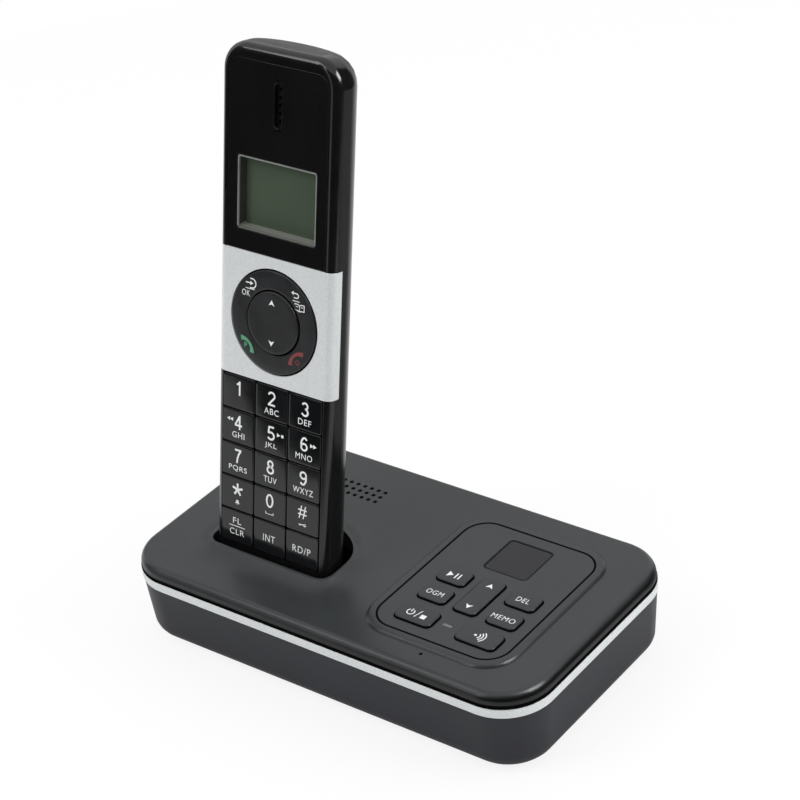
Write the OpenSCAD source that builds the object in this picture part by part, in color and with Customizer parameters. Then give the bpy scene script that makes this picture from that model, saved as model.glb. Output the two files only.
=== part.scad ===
// Cordless desk phone: a slim handset standing in an answering-machine base.
// Millimetres, +Z up. The origin is the middle of the base's footprint on the table.
// The base's front faces -Y, and the handset leans back toward +Y.

/* [Base shell] */
// Width of the base across its bright strip
base_w = 155; // [152:1:165]
// Depth of the base across its bright strip
base_d = 87; // [86:1:96]
// Corner radius of the base in plan
base_r = 16.5; // [14:0.5:19]
// Thickness of the base's plastic walls
base_wall = 2; // [1.8:0.1:2.2]
// Height of the rubber feet below the lower shell
foot_h = 1; // [0.8:0.1:1.6]
// Height of the lower shell up to the strip
lower_h = 21.15; // [20.95:0.05:24]
// How far the lower shell draws in toward its underside
lower_draft = 1.7; // [1.2:0.1:2.2]
// Radius of the lower shell's bottom edge
lower_edge_r = 5.5; // [4:0.5:6]
// Height of the bright strip
trim_h = 3.65; // [3:0.05:4.2]
// Thickness of the bright strip
trim_t = 2; // [1.7:0.1:2.2]
// How far the strip stands proud of the shells
trim_proud = 0.25; // [0.15:0.05:0.4]
// Height of the upper shell above the strip
upper_h = 4.4; // [4.2:0.1:5.4]
// Radius of the upper shell's top edge
upper_edge_r = 2.9; // [2.2:0.1:3.2]
// Radius of the upper shell's lower edge, above the strip
upper_low_r = 1.1; // [0.8:0.1:1.1]

/* [Cradle] */
// Middle of the cradle from the base's left end
cradle_side = 45; // [43.5:0.5:45.5]
// Front edge of the cradle mouth from the base's middle
cradle_front = 23.4; // [22.8:0.1:25]
// Back edge of the cradle mouth from the base's middle
cradle_back = 3.5; // [2.5:0.5:5]
// Radius of the cradle mouth's front corners
cradle_r = 4; // [3:0.5:6]
// Gap between the handset's sides and the cradle mouth
mouth_gap = 1.5; // [1.3:0.1:2]
// Height of the raised mouth above the upper shell
lip_h = 2.2; // [1.8:0.1:2.6]
// Width of the soft slope round the mouth
lip_w = 9.5; // [8:0.5:11]
// Thickness of the cradle's walls
cradle_wall = 1.8; // [1.5:0.1:2.1]
// Gap between the handset and the cradle's lower walls
cradle_fit = 0.7; // [0.5:0.05:0.9]
// Gap between the resting handset and the cradle's floor and contacts
rest_gap = 0.35; // [0.3:0.05:0.6]

/* [Handset] */
// Width of the handset
hs_w = 44.6; // [44:0.2:45]
// Part of the handset above the cradle's datum
hs_above = 161.8; // [161.4:0.1:163]
// Part of the handset below the cradle's datum
hs_below = 13; // [12.5:0.5:13.5]
// Depth of the front shell
front_t = 6.4; // [6.3:0.1:6.8]
// Depth of the curved rear shell
rear_t = 12.3; // [12.2:0.1:12.8]
// Backward lean of the standing handset in degrees
hs_lean = 12.8; // [12:0.1:13.5]
// Height of the cradle's datum on the handset's face above the upper shell
hs_datum_h = 2.65; // [2.4:0.05:2.9]
// Distance of that datum in front of the base's middle
hs_datum_y = 21.3; // [21:0.1:21.4]
// Radius along the handset's front edges
hs_edge_r = 3; // [2.6:0.1:3]
// Corner radius of the handset's outline
hs_top_r = 9; // [8.5:0.5:10]
// Thickness of the front shell's side walls
hs_wall = 1.6; // [1.5:0.05:1.6]
// Thickness of the front shell's face
face_t = 2.6; // [2.5:0.1:2.6]
// Thickness of the rear shell's wall and the battery door
rear_wall = 1.4; // [1.3:0.05:1.5]

/* [Display and band] */
// Lower edge of the bright band above the datum
band_low = 57.15; // [57.15:0.05:57.6]
// Height of the bright band
band_h = 40.85; // [40:0.05:41]
// Thickness of the bright band
band_t = 1; // [0.9:0.05:1.1]
// Half width of the gloss lens
lens_hw = 19.2; // [18.8:0.1:19.3]
// Height of the gloss lens
lens_h = 59.3; // [58.5:0.1:59.5]
// Thickness of the gloss lens
lens_t = 1.2; // [1.1:0.05:1.3]
// Half width of the display window
lcd_hw = 15.2; // [14:0.1:15.4]
// Height of the display window
lcd_h = 22.9; // [21:0.1:23]
// Width of the display window's bezel
bezel_w = 0.9; // [0.7:0.1:1.2]
// Depth of the display glass behind the lens
lcd_depth = 3.4; // [3:0.1:3.6]
// Length of the earpiece slot
ear_h = 13.8; // [12:0.1:15]
// Width of the earpiece slot
ear_w = 2.65; // [2.2:0.05:3]

/* [Handset keys] */
// Spacing of the key columns
key_px = 13.1; // [13:0.05:13.1]
// Spacing of the key rows
key_pz = 11.4; // [11.3:0.05:11.4]
// Gap between neighbouring keys
key_gap = 0.4; // [0.35:0.05:0.5]
// Gap between the outer keys and the shell
key_fit = 0.35; // [0.3:0.05:0.4]
// Thickness of a key cap
key_t = 2.5; // [2.3:0.1:2.6]
// How far a key stands out of the face
key_out = 0.25; // [0.15:0.05:0.3]
// Press travel of a key plus its end gap
key_room = 0.85; // [0.8:0.05:0.9]
// Radius of the ring key
nav_r = 16.4; // [16:0.1:16.5]
// Radius of the round rocker inside the ring key
rocker_r = 9.9; // [9:0.1:10]
// Gap around the ring key and around the rocker
nav_gap = 0.5; // [0.45:0.05:0.55]
// Middle of the ring key above the band's lower edge
nav_up = 20.35; // [20.05:0.05:20.65]

/* [Handset inside] */
// Diameter of a battery cell
cell_d = 10.2; // [9.8:0.1:10.2]
// Length of a battery cell
cell_l = 44.5; // [43.5:0.5:45]
// Lower end of the battery cells above the datum
cell_low = 34; // [34:0.5:35]
// Half width of the battery door
door_hw = 15.6; // [14.5:0.1:16]
// Gap around the battery door
door_fit = 0.4; // [0.35:0.05:0.5]
// Length of the finger scoop below the battery door
scoop_h = 8; // [7.5:0.1:8]

/* [Control panel] */
// Middle of the control panel from the base's right end
panel_side = 41; // [40.5:0.1:41.5]
// Middle of the control panel behind the base's middle
panel_y = -0.6; // [-1:0.1:0]
// Width of the control panel
panel_w = 47.3; // [46.8:0.1:48]
// Depth of the control panel
panel_d = 59.6; // [59:0.1:60]
// Corner radius of the control panel
panel_r = 8; // [7:0.5:9]
// Thickness of the control panel
panel_t = 2; // [1.8:0.1:2]
// Gap around the control panel
panel_gap = 0.3; // [0.25:0.05:0.4]
// Height of the panel's raised surround
surround_h = 0.8; // [0.7:0.1:1]
// Width of the surround's soft lip
surround_w = 2.3; // [2:0.1:2.5]
// How far the panel keys stand above the panel
pkey_out = 0.8; // [0.7:0.1:1]
// Gap around a panel key
pkey_fit = 0.4; // [0.35:0.05:0.45]
// Press travel of a panel key plus its end gap
pkey_room = 1; // [0.9:0.1:1]
// Corner radius of a panel key
pkey_r = 1.7; // [1.5:0.1:2]
// Width of the message window
window_w = 15.9; // [15:0.1:16.5]

/* [Sockets] */
// Width of the line socket's mouth
line_w = 9.7; // [9.6:0.1:10]
// Height of the line socket's mouth
line_h = 6.6; // [6.4:0.1:6.8]
// Diameter of the power socket's bore
power_bore = 6.4; // [6:0.1:6.6]
// Diameter of the power socket's pin
power_pin = 2; // [1.8:0.1:2.2]

/* [Hidden] */
$fn = 48;

// Heights of the base's levels above the table
z_shell = foot_h;
z_trim = z_shell + lower_h;
z_split = z_trim + trim_h;
z_top = z_split + upper_h;
z_plate = z_top - base_wall;
z_lip = z_top + lip_h;
z_panel = z_top + surround_h;
z_panel_low = z_panel - panel_t;
shell_w = base_w - 2 * trim_proud;
shell_d = base_d - 2 * trim_proud;
shell_r = base_r - trim_proud;
z_floor = z_shell + base_wall;
cradle_x = cradle_side - base_w / 2;
panel_x = base_w / 2 - panel_side;

// Speaker and microphone of the base
speaker_x = cradle_x - 0.4;
speaker_y = shell_d / 2 - 18.85;
speaker_r = 13;
speaker_depth = 8;
mic_x = panel_x + 0.6;
mic_y = 7.35 - shell_d / 2;
mic_r = 3;
mic_depth = 4;

// Board and post levels inside the base
z_board = z_floor + 3;
board_t = 1.6;
z_board_top = z_board + board_t;
post_x = shell_w / 2 - 13.2;
post_y = shell_d / 2 - 13.2;
post_r = 3.5;
z_post = z_floor + 12;
screw_r = 1.3;
screw_head_r = 2.8;
screw_head_t = 1.8;
z_screw_seat = z_floor + 4;
foot_r = 6;
foot_x = shell_w / 2 - 29;
foot_y = shell_d / 2 - 14.2;
foot_sink = 0.8;

// Sockets at the back of the main board
line_socket_x = shell_w / 2 - 47.25;
power_socket_x = line_socket_x - 18;
socket_w = 13;
socket_h = 12;
socket_face = shell_d / 2 - lower_draft - 0.1;
line_depth = 11.5;
latch_hw = 3;
latch_h = 1.4;
power_depth = 9;

// Levels under the control panel
flange_t = 1;
flange_gap = 0.4;
flange_w = 0.9;
z_flange = z_panel_low - flange_gap - flange_t;
z_dome = z_flange - pkey_room;
z_pmat = z_dome - 1.2;
pmat_t = 1;
z_pboard = z_pmat - pmat_t;
ledge_w = 2.5;
ledge_r = 3;
panel_post_r = 1.4;

// Place of each panel key from the panel's middle, with the width and depth of its cap
function on_panel(x, y, w, d) = [panel_x + x, panel_y + y, w, d];
P_PLAY = on_panel(-11.8, 0, 10.4, 7.2);
P_GREETING = on_panel(-11.75, -10.3, 10.3, 7);
P_POWER = on_panel(-10.5, -21.6, 13.3, 7.5);
P_DELETE = on_panel(13.95, -0.4, 10.6, 7.2);
P_MEMO = on_panel(14.1, -10.8, 10.4, 7);
P_PAGE = on_panel(12.4, -21.6, 14.2, 7.5);
P_ROCKER = on_panel(0.8, -4.9, 8.4, 18);
P_KEYS = [P_PLAY, P_GREETING, P_POWER, P_DELETE, P_MEMO, P_PAGE, P_ROCKER];
P_WINDOW = on_panel(0.25, 17, window_w, window_w + 0.4);
P_LIGHT = on_panel(0.2, -21, 3.4, 1.1);
window_r = 1.5;

// The handset's own frame: x across, y into its depth, z along it
hs_hw = hs_w / 2;
hs_t = front_t + rear_t;
rear_full = 0.6;
band_reach = front_t - 1.8;
band_top = band_low + band_h;
lens_top = band_top + lens_h;
lcd_low = band_top + 6.65;
lcd_mid = lcd_low + lcd_h / 2;
ear_z = lens_top - 12.4;
keys_hw = 1.5 * key_px - key_gap / 2;
keypad_top = band_low - key_fit + key_gap / 2;
keypad_low = keypad_top - 5 * key_pz;
key_w = key_px - key_gap;
key_h = key_pz - key_gap;
key_back = key_t - key_out;
mat_dome = key_back + key_room;
mat_face = mat_dome + 0.8;
board_face = mat_face + 1;
hboard_t = 1;
board_back = board_face + hboard_t;
hboard_hw = hs_hw - hs_wall - 1;
hboard_top = lens_top - 24;
hboard_low = -hs_below + 3.5;
hboard_r = 5;
nav_z = band_low + nav_up;
nav_bore = nav_r + nav_gap;
pad_face = face_t + 0.1;
pad_t = 0.65;
ring_back = 1.95;
ring_out = 0.3;
rocker_out = 0.7;
pivot_r = 1.5;
cell_x = cell_d / 2 + 0.1;
cell_y = front_t + 4.9;
cell_top = cell_low + cell_l;
plate_t = 0.5;
door_low = cell_low - 3.7;
door_top = cell_top + 5.2;
door_open_hw = door_hw + door_fit;
earpiece_r = 8.5;
earpiece_t = 3.6;
ringer_z = 114;
ringer_r = 8;
ringer_seat = front_t + 8.5;
hscrew_x = 13.5;
hscrew_z = lens_top - 9.5;
hscrew_r = 1;
hscrew_seat = front_t + 3;
hmic_z = -6;
pad_x = 8;
pad_y = 4.4;

// Colours for the plain view
c_shell = [0.29, 0.30, 0.31];
c_lower = [0.25, 0.26, 0.28];
c_black = [0.10, 0.10, 0.11];
c_silver = [0.78, 0.79, 0.80];
c_key = [0.22, 0.22, 0.23];
c_board = [0.10, 0.36, 0.20];
c_metal = [0.74, 0.70, 0.58];
c_rubber = [0.14, 0.14, 0.14];
c_lcd = [0.36, 0.42, 0.34];
c_white = [0.85, 0.85, 0.82];

// Points along an elliptical arc
function arc(cx, cy, rx, ry, a0, a1, n) =
    [for (i = [0 : n]) let (a = a0 + (a1 - a0) * i / n) [cx + rx * cos(a), cy + ry * sin(a)]];

// Rounded rectangle outline, centred
module outline(w, d, r) {
    square([w - 2 * r, d], center = true);
    square([w, d - 2 * r], center = true);
    for (x = [-1, 1], y = [-1, 1])
        translate([x * (w / 2 - r), y * (d / 2 - r)])
            circle(r);
}

// Upright block with rounded corners in plan
module block(w, d, h, r) {
    linear_extrude(h)
        outline(w, d, r);
}

// Runs a profile of [inset, height] points round a rounded rectangle
module run_round(w, d, r, profile) {
    section = [for (p = profile) [r - p[0], p[1]]];
    for (q = [0 : 3])
        rotate(90 * q) {
            across = q % 2 == 0 ? w / 2 - r : d / 2 - r;
            along = q % 2 == 0 ? d - 2 * r : w - 2 * r;
            translate([across, along / 2, 0])
                rotate_extrude(angle = 90)
                    polygon(section);
            translate([across, 0, 0])
                rotate([90, 0, 0])
                    linear_extrude(along, center = true)
                        polygon(section);
        }
}

// Fills a rounded rectangle whose edge follows a profile from its foot to its top
module run_solid(w, d, r, profile) {
    low = profile[0][1];
    high = profile[len(profile) - 1][1];
    run_round(w, d, r, concat([[r, low]], profile, [[r, high]]));
    translate([0, 0, (low + high) / 2])
        cube([w - 2 * r, d - 2 * r, high - low], center = true);
}

// Edge of the lower shell from its underside up to the strip, moved inward by a wall
function lower_edge(i) =
    let (e = lower_edge_r - i, k = lower_draft / lower_h)
    let (zc = z_shell + lower_edge_r, c = i + k * (z_trim - zc) + e)
    concat(arc(c, zc, e, e, 270, 180, 7), [[i, z_trim]]);

// Inner edge of the upper shell from below the strip up to its top
function upper_inner() =
    let (i = base_wall, e = upper_edge_r - i * 0.8)
    concat([[i, z_split - 1]], arc(i + e, z_top - i - e, e, e, 180, 90, 7));

// Places a part of the handset, leaning in the cradle
module in_handset() {
    translate([cradle_x, -hs_datum_y, z_top + hs_datum_h])
        rotate([-hs_lean, 0, 0])
            children();
}

// Extrudes a handset outline of [across, along] points through a span of depth
module through_depth(y0, y1) {
    translate([0, y1, 0])
        rotate([90, 0, 0])
            linear_extrude(y1 - y0)
                children();
}

// Round bar through the handset's depth
module depth_bar(x, z, r, y0, y1) {
    translate([x, y0, z])
        rotate([-90, 0, 0])
            cylinder(h = y1 - y0, r = r);
}

// Plain block in the handset's frame, from a low to a high corner
module span(low, high) {
    translate(low)
        cube(high - low);
}

// Outline of the handset seen from the front, moved inward by a wall
module hs_outline(i) {
    translate([0, (hs_above - hs_below) / 2])
        outline(hs_w - 2 * i, hs_above + hs_below - 2 * i, hs_top_r - i);
}

// Cross-section of the front shell, moved inward by a skin
module front_section(i) {
    e = max(hs_edge_r - i, 0.3);
    hw = hs_hw - i;
    polygon(concat(
        arc(hw - e, i + e, e, e, -90, 0, 7),
        [[hw, front_t], [-hw, front_t]],
        arc(-hw + e, i + e, e, e, 180, 270, 7)
    ));
}

// Cross-section of the rear shell, moved inward by a wall
module rear_section(i) {
    polygon(arc(0, front_t, hs_hw - i, rear_t - i, 0, 180, 30));
}

// Lengthwise extrusion between two heights along the handset
module lengthwise(z0, z1) {
    translate([0, 0, z0])
        linear_extrude(z1 - z0)
            children();
}

// Half width of the handset's outline at a height, moved inward by a wall
function half_width(z, i) =
    let (r = hs_top_r - i, over = max(z - (hs_above - i - r), (-hs_below + i + r) - z, 0))
    hs_hw - i - r + sqrt(max(r * r - over * over, 0));

// Thin slice across the rear half of the handset at a height, with its depth
module rear_slice(i, z, deep) {
    translate([0, 0, z])
        linear_extrude(0.01, center = true)
            polygon(arc(0, front_t, half_width(z, i), max(deep, 0.01), 0, 180, 30));
}

// Solid of the rear half of the handset, moved inward by a wall
module rear_body(i) {
    hull()
        for (turn = [0 : 15 : 90]) {
            rise = (hs_top_r - i) * sin(turn);
            deep = (rear_t - i) * pow(cos(turn), rear_full);
            rear_slice(i, hs_above - hs_top_r + rise, deep);
            rear_slice(i, hs_top_r - hs_below - rise, deep);
        }
}

// Solid of the front half of the handset
module front_body() {
    e = hs_edge_r;
    translate([0, front_t, (hs_above - hs_below) / 2])
        rotate([90, 0, 0])
            run_solid(hs_w, hs_above + hs_below, hs_top_r,
                concat([[0, 0]], arc(e, front_t - e, e, e, 180, 90, 7)));
}

// Outline of the gloss lens with its rounded upper corners
module lens_outline() {
    r = 4.5;
    polygon(concat(
        [[-lens_hw, band_top], [lens_hw, band_top]],
        arc(lens_hw - r, lens_top - r, r, r, 0, 90, 8),
        arc(-lens_hw + r, lens_top - r, r, r, 90, 180, 8)
    ));
}

// Outline of the earpiece slot
module ear_outline() {
    run = (ear_h - ear_w) / 2;
    translate([0, ear_z])
        square([ear_w, 2 * run], center = true);
    for (s = [-1, 1])
        translate([0, ear_z + s * run])
            circle(ear_w / 2);
}

// Outline of the display window
module lcd_outline(i) {
    translate([0, lcd_mid])
        outline(2 * (lcd_hw - i), lcd_h - 2 * i, 0.8);
}

// Outline of the cradle mouth, moved outward: a straight front and a back that curves as the handset's does
function mouth_path(o) =
    let (hw = hs_hw + mouth_gap, r = cradle_r, turn = 11 - cradle_front)
    concat(arc(hw - r, r - cradle_front, r + o, r + o, -90, 0, 6),
        arc(0, turn, hw + o, cradle_back - turn + o, 0, 180, 28),
        arc(-hw + r, r - cradle_front, r + o, r + o, 180, 270, 6));

// Slab with the outline of the cradle mouth, moved outward, on a level
module mouth_slab(o, z, h) {
    translate([cradle_x, 0, z])
        linear_extrude(h)
            polygon(mouth_path(o));
}

// Soft slope that rises from the upper shell to the cradle mouth, by [distance, height] from the mouth's edge
module cradle_slope() {
    steps = [[0.5, lip_h], [1.2, 0.88 * lip_h], [0.24 * lip_w, 0.57 * lip_h], [0.42 * lip_w, 0.29 * lip_h],
        [0.66 * lip_w, 0.11 * lip_h], [lip_w, -0.02]];
    for (k = [1 : len(steps) - 1])
        hull() {
            mouth_slab(steps[k - 1][0], z_top + steps[k - 1][1] - 0.01, 0.01);
            mouth_slab(steps[k][0], z_top + steps[k][1] - 0.01, 0.01);
        }
}

// The cradle's cavity, or with a wall its outside
module cradle_form(wall, top) {
    foot_w = hs_w + 2 * cradle_fit + 2 * wall;
    foot_d = hs_t + 2 * cradle_fit + 2 * wall;
    hull() {
        mouth_slab(wall, top - 0.5, 0.5);
        in_handset()
            translate([0, hs_t / 2, -hs_below - rest_gap - wall])
                block(foot_w, foot_d, 0.5, 4 + wall);
    }
}

// Cuts a panel outline through a span of height
module panel_cut(p, grow, r, z0, z1) {
    translate([p[0], p[1], z0])
        block(p[2] + 2 * grow, p[3] + 2 * grow, z1 - z0, r);
}

// Four copies at the base's corners
module four(x, y) {
    for (sx = [-1, 1], sy = [-1, 1])
        translate([sx * x, sy * y, 0])
            children();
}

// Upper shell with the cradle, its soft lip, the panel's surround and the speaker holes
module base_top_cover() {
    whole_panel = [panel_x, panel_y, panel_w, panel_d];
    edge = concat([[ledge_w, z_plate], [ledge_w, z_top]], [[-0.2, z_top], [-0.2, z_panel]],
        arc(-surround_w, z_panel, surround_w - 0.9, surround_h, -20, -90, 5),
        [[-surround_w, z_plate]]);
    color(c_shell)
        difference() {
            union() {
                difference() {
                    run_solid(shell_w, shell_d, shell_r, concat(
                        arc(upper_low_r, z_split + upper_low_r, upper_low_r, upper_low_r, 270, 180, 5),
                        arc(upper_edge_r, z_top - upper_edge_r, upper_edge_r, upper_edge_r, 180, 90, 7)));
                    run_solid(shell_w, shell_d, shell_r, upper_inner());
                }
                cradle_slope();
                cradle_form(cradle_wall, z_plate + 0.5);
                translate([panel_x, panel_y, 0])
                    run_round(panel_w, panel_d, panel_r, edge);
                four(post_x, post_y)
                    translate([0, 0, z_post])
                        cylinder(h = z_plate - z_post + 0.5, r = post_r);
                translate([panel_x, panel_y, z_pboard])
                    four(panel_w / 2 - panel_post_r + 0.1, panel_d / 2 - 9)
                        cylinder(h = z_plate - z_pboard + 0.5, r = panel_post_r);
            }
            cradle_form(0, z_lip + 0.01);
            panel_cut(whole_panel, panel_gap, panel_r, z_panel_low, z_panel + 1);
            panel_cut(whole_panel, -ledge_w, ledge_r, z_plate - 1, z_panel);
            four(post_x, post_y)
                translate([0, 0, z_post - 1])
                    cylinder(h = 10, r = screw_r);
            for (i = [0 : 7], j = [-1 : 1])
                translate([speaker_x + 2.77 * (i - 3.5), speaker_y + 2.85 * j, z_plate - 1])
                    cylinder(h = base_wall + 2, r = 0.75, $fn = 16);
            translate([mic_x, mic_y, z_plate - 1])
                cylinder(h = base_wall + 2, r = 0.6, $fn = 16);
            in_handset()
                for (x = [-pad_x, pad_x])
                    span([x - 1.2, pad_y - 1.7, -hs_below - 6], [x + 1.2, pad_y + 1.7, -hs_below]);
        }
}

// Lower shell with its screw posts, board pillars, foot sockets and rear openings
module base_bottom_cover() {
    skirt_i = trim_t - trim_proud;
    skirt = [[skirt_i, z_trim], [skirt_i, z_split], [skirt_i + 1.6, z_split],
        [skirt_i + 1.6, z_trim - 3], [base_wall - 0.2, z_trim - 3], [base_wall - 0.2, z_trim]];
    color(c_lower)
        difference() {
            union() {
                difference() {
                    run_solid(shell_w, shell_d, shell_r, lower_edge(0));
                    run_solid(shell_w, shell_d, shell_r,
                        concat(lower_edge(base_wall), [[base_wall, z_trim + 1]]));
                }
                run_round(shell_w, shell_d, shell_r, skirt);
                four(post_x, post_y)
                    translate([0, 0, z_floor - 0.5])
                        cylinder(h = z_post - z_floor + 0.5, r = post_r);
                four(foot_x, foot_y)
                    translate([0, 0, z_floor - 0.5])
                        cylinder(h = z_board - z_floor + 0.5, r = 2.5);
            }
            four(post_x, post_y) {
                translate([0, 0, z_shell - 1])
                    cylinder(h = z_post, r = screw_r);
                translate([0, 0, z_shell - 1])
                    cylinder(h = z_screw_seat - z_shell + 1, r = screw_head_r + 0.3);
            }
            four(foot_x, foot_y)
                translate([0, 0, z_shell - 1])
                    cylinder(h = 1 + foot_sink, r = foot_r);
            socket_body(line_socket_x, 0.2);
            socket_body(power_socket_x, 0.2);
        }
}

// Bright strip clamped between the two shells
module trim_strip() {
    color(c_silver)
        run_round(base_w, base_d, base_r, [[0.4, z_trim], [0, z_trim + 0.4], [0, z_split - 0.4],
            [0.4, z_split], [trim_t, z_split], [trim_t, z_trim]]);
}

// Panel plate with the openings for its keys, window and light
module control_panel() {
    color(c_shell)
        difference() {
            translate([panel_x, panel_y, z_panel_low])
                block(panel_w, panel_d, panel_t, panel_r);
            for (p = P_KEYS)
                panel_cut(p, pkey_fit, pkey_r + pkey_fit, z_panel_low - 1, z_panel + 1);
            panel_cut(P_WINDOW, 0, window_r, z_panel_low - 1, z_panel + 1);
            panel_cut(P_LIGHT, 0, 0.5, z_panel_low - 1, z_panel + 1);
        }
}

// Tinted window over the message counter
module message_window() {
    color(c_black)
        panel_cut(P_WINDOW, 0, window_r, z_panel_low, z_panel - 0.15);
}

// Message counter's digit block on the panel board
module message_display() {
    color(c_black)
        translate([P_WINDOW[0], P_WINDOW[1], z_pboard])
            span([-7, -6.5, 0], [7, 6.5, z_panel_low - z_pboard]);
}

// Rubber mat with a dome under each panel key
module panel_mat() {
    color(c_rubber) {
        span([panel_x - panel_w / 2 + 4, panel_y - panel_d / 2 + 3, z_pboard],
            [panel_x + panel_w / 2 - 4, panel_y + 7, z_pmat]);
        for (p = [P_PLAY, P_GREETING, P_POWER, P_DELETE, P_MEMO, P_PAGE])
            translate([p[0], p[1], z_pmat - 0.01])
                cylinder(h = z_dome - z_pmat + 0.01, r1 = 3, r2 = 2.2);
        for (s = [-1, 1])
            translate([P_ROCKER[0], P_ROCKER[1] + s * 5.5, z_pmat - 0.01])
                cylinder(h = z_dome - z_pmat + 0.01, r1 = 2.6, r2 = 1.9);
    }
}

// Circuit board of the control panel
module panel_board() {
    color(c_board)
        span([panel_x - panel_w / 2 + 0.2, panel_y - panel_d / 2 + 1, z_pboard - board_t],
            [panel_x + panel_w / 2 - 0.2, panel_y + panel_d / 2 - 1, z_pboard]);
}

// Edge of a panel key from a foot up to its rounded top
function pkey_edge(foot) =
    concat([[0, foot]], arc(0.6, z_panel + pkey_out - 0.6, 0.6, 0.6, 180, 90, 4));

// Panel key: a cap with a rounded top edge and a flange that keeps it in the panel
module panel_key(p) {
    color(c_key) {
        translate([p[0], p[1], 0])
            run_solid(p[2], p[3], pkey_r, pkey_edge(z_flange + flange_t));
        panel_cut(p, flange_w, pkey_r, z_flange, z_flange + flange_t);
    }
}

module key_play() {
    panel_key(P_PLAY);
}

module key_greeting() {
    panel_key(P_GREETING);
}

module key_power() {
    panel_key(P_POWER);
}

module key_delete() {
    panel_key(P_DELETE);
}

module key_memo() {
    panel_key(P_MEMO);
}

module key_page() {
    panel_key(P_PAGE);
}

// Two-way volume key that tips about short wings at its middle
module volume_rocker() {
    p = P_ROCKER;
    color(c_key) {
        translate([p[0], p[1], 0])
            run_solid(p[2], p[3], pkey_r, pkey_edge(z_flange));
        span([p[0] - p[2] / 2 - flange_w, p[1] - 2.5, z_flange],
            [p[0] + p[2] / 2 + flange_w, p[1] + 2.5, z_flange + flange_t]);
    }
}

// Main circuit board of the base
module base_board() {
    color(c_board)
        span([-foot_x - 9, -foot_y - 7, z_board], [foot_x + 9, foot_y + 7, z_board_top]);
}

// Loudspeaker under the speaker holes
module base_speaker() {
    color(c_black)
        translate([speaker_x, speaker_y, z_plate - speaker_depth]) {
            translate([0, 0, speaker_depth - 3])
                cylinder(h = 3, r = speaker_r);
            cylinder(h = speaker_depth - 2.99, r1 = speaker_r - 6, r2 = speaker_r - 1);
        }
}

// Microphone capsule under its hole at the front
module base_microphone() {
    color(c_black)
        translate([mic_x, mic_y, z_plate - mic_depth])
            cylinder(h = mic_depth, r = mic_r);
}

// Two charging springs standing through the cradle's floor
module cradle_contacts() {
    high = -hs_below - rest_gap - 0.01;
    low = -hs_below - rest_gap - cradle_wall - 1.2;
    color(c_metal)
        in_handset()
            for (x = [-pad_x, pad_x]) {
                span([x - 1.2, pad_y - 1.7, low], [x + 1.2, pad_y + 1.7, high]);
                span([x - 1.2, pad_y - 3, low - 0.6], [x + 1.2, pad_y + 4, low]);
            }
}

// Light pipe between the lower panel keys
module indicator_light() {
    color(c_white)
        panel_cut(P_LIGHT, 0, 0.5, z_panel_low - 0.6, z_panel + 0.1);
}

// Outside of a socket on the main board, grown by a gap
module socket_body(x, gap) {
    span([x - socket_w / 2 - gap, foot_y - 1, z_board_top - gap],
        [x + socket_w / 2 + gap, gap > 0 ? base_d : socket_face, z_board_top + socket_h + gap]);
}

// Round power socket with its centre pin
module power_socket() {
    z = z_board_top + socket_h / 2;
    color(c_black) {
        difference() {
            socket_body(power_socket_x, 0);
            translate([power_socket_x, socket_face - power_depth, z])
                rotate([-90, 0, 0])
                    cylinder(h = power_depth + 1, r = power_bore / 2);
        }
        translate([power_socket_x, socket_face - power_depth - 0.5, z])
            rotate([-90, 0, 0])
                cylinder(h = power_depth - 0.5, r = power_pin / 2);
    }
}

// Modular line socket
module line_socket() {
    z = z_board_top + socket_h / 2;
    color(c_black)
        difference() {
            socket_body(line_socket_x, 0);
            span([line_socket_x - line_w / 2, socket_face - line_depth, z - line_h / 2],
                [line_socket_x + line_w / 2, socket_face + 1, z + line_h / 2]);
            span([line_socket_x - latch_hw, socket_face - line_depth, z + line_h / 2 - 0.01],
                [line_socket_x + latch_hw, socket_face + 1, z + line_h / 2 + latch_h]);
        }
}

// Four rubber feet that the base rests on
module rubber_feet() {
    color(c_rubber)
        four(foot_x, foot_y)
            cylinder(h = foot_h + foot_sink, r = foot_r);
}

// Four screws that hold the shells together from below
module base_screws() {
    color(c_metal)
        four(post_x, post_y) {
            difference() {
                translate([0, 0, z_screw_seat - screw_head_t])
                    cylinder(h = screw_head_t, r = screw_head_r);
                for (a = [0, 90])
                    rotate(a)
                        translate([0, 0, z_screw_seat - screw_head_t])
                            cube([3.2, 0.7, 1.6], center = true);
            }
            translate([0, 0, z_screw_seat - 0.01])
                cylinder(h = z_post - z_screw_seat + 7, r = screw_r);
        }
}

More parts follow.
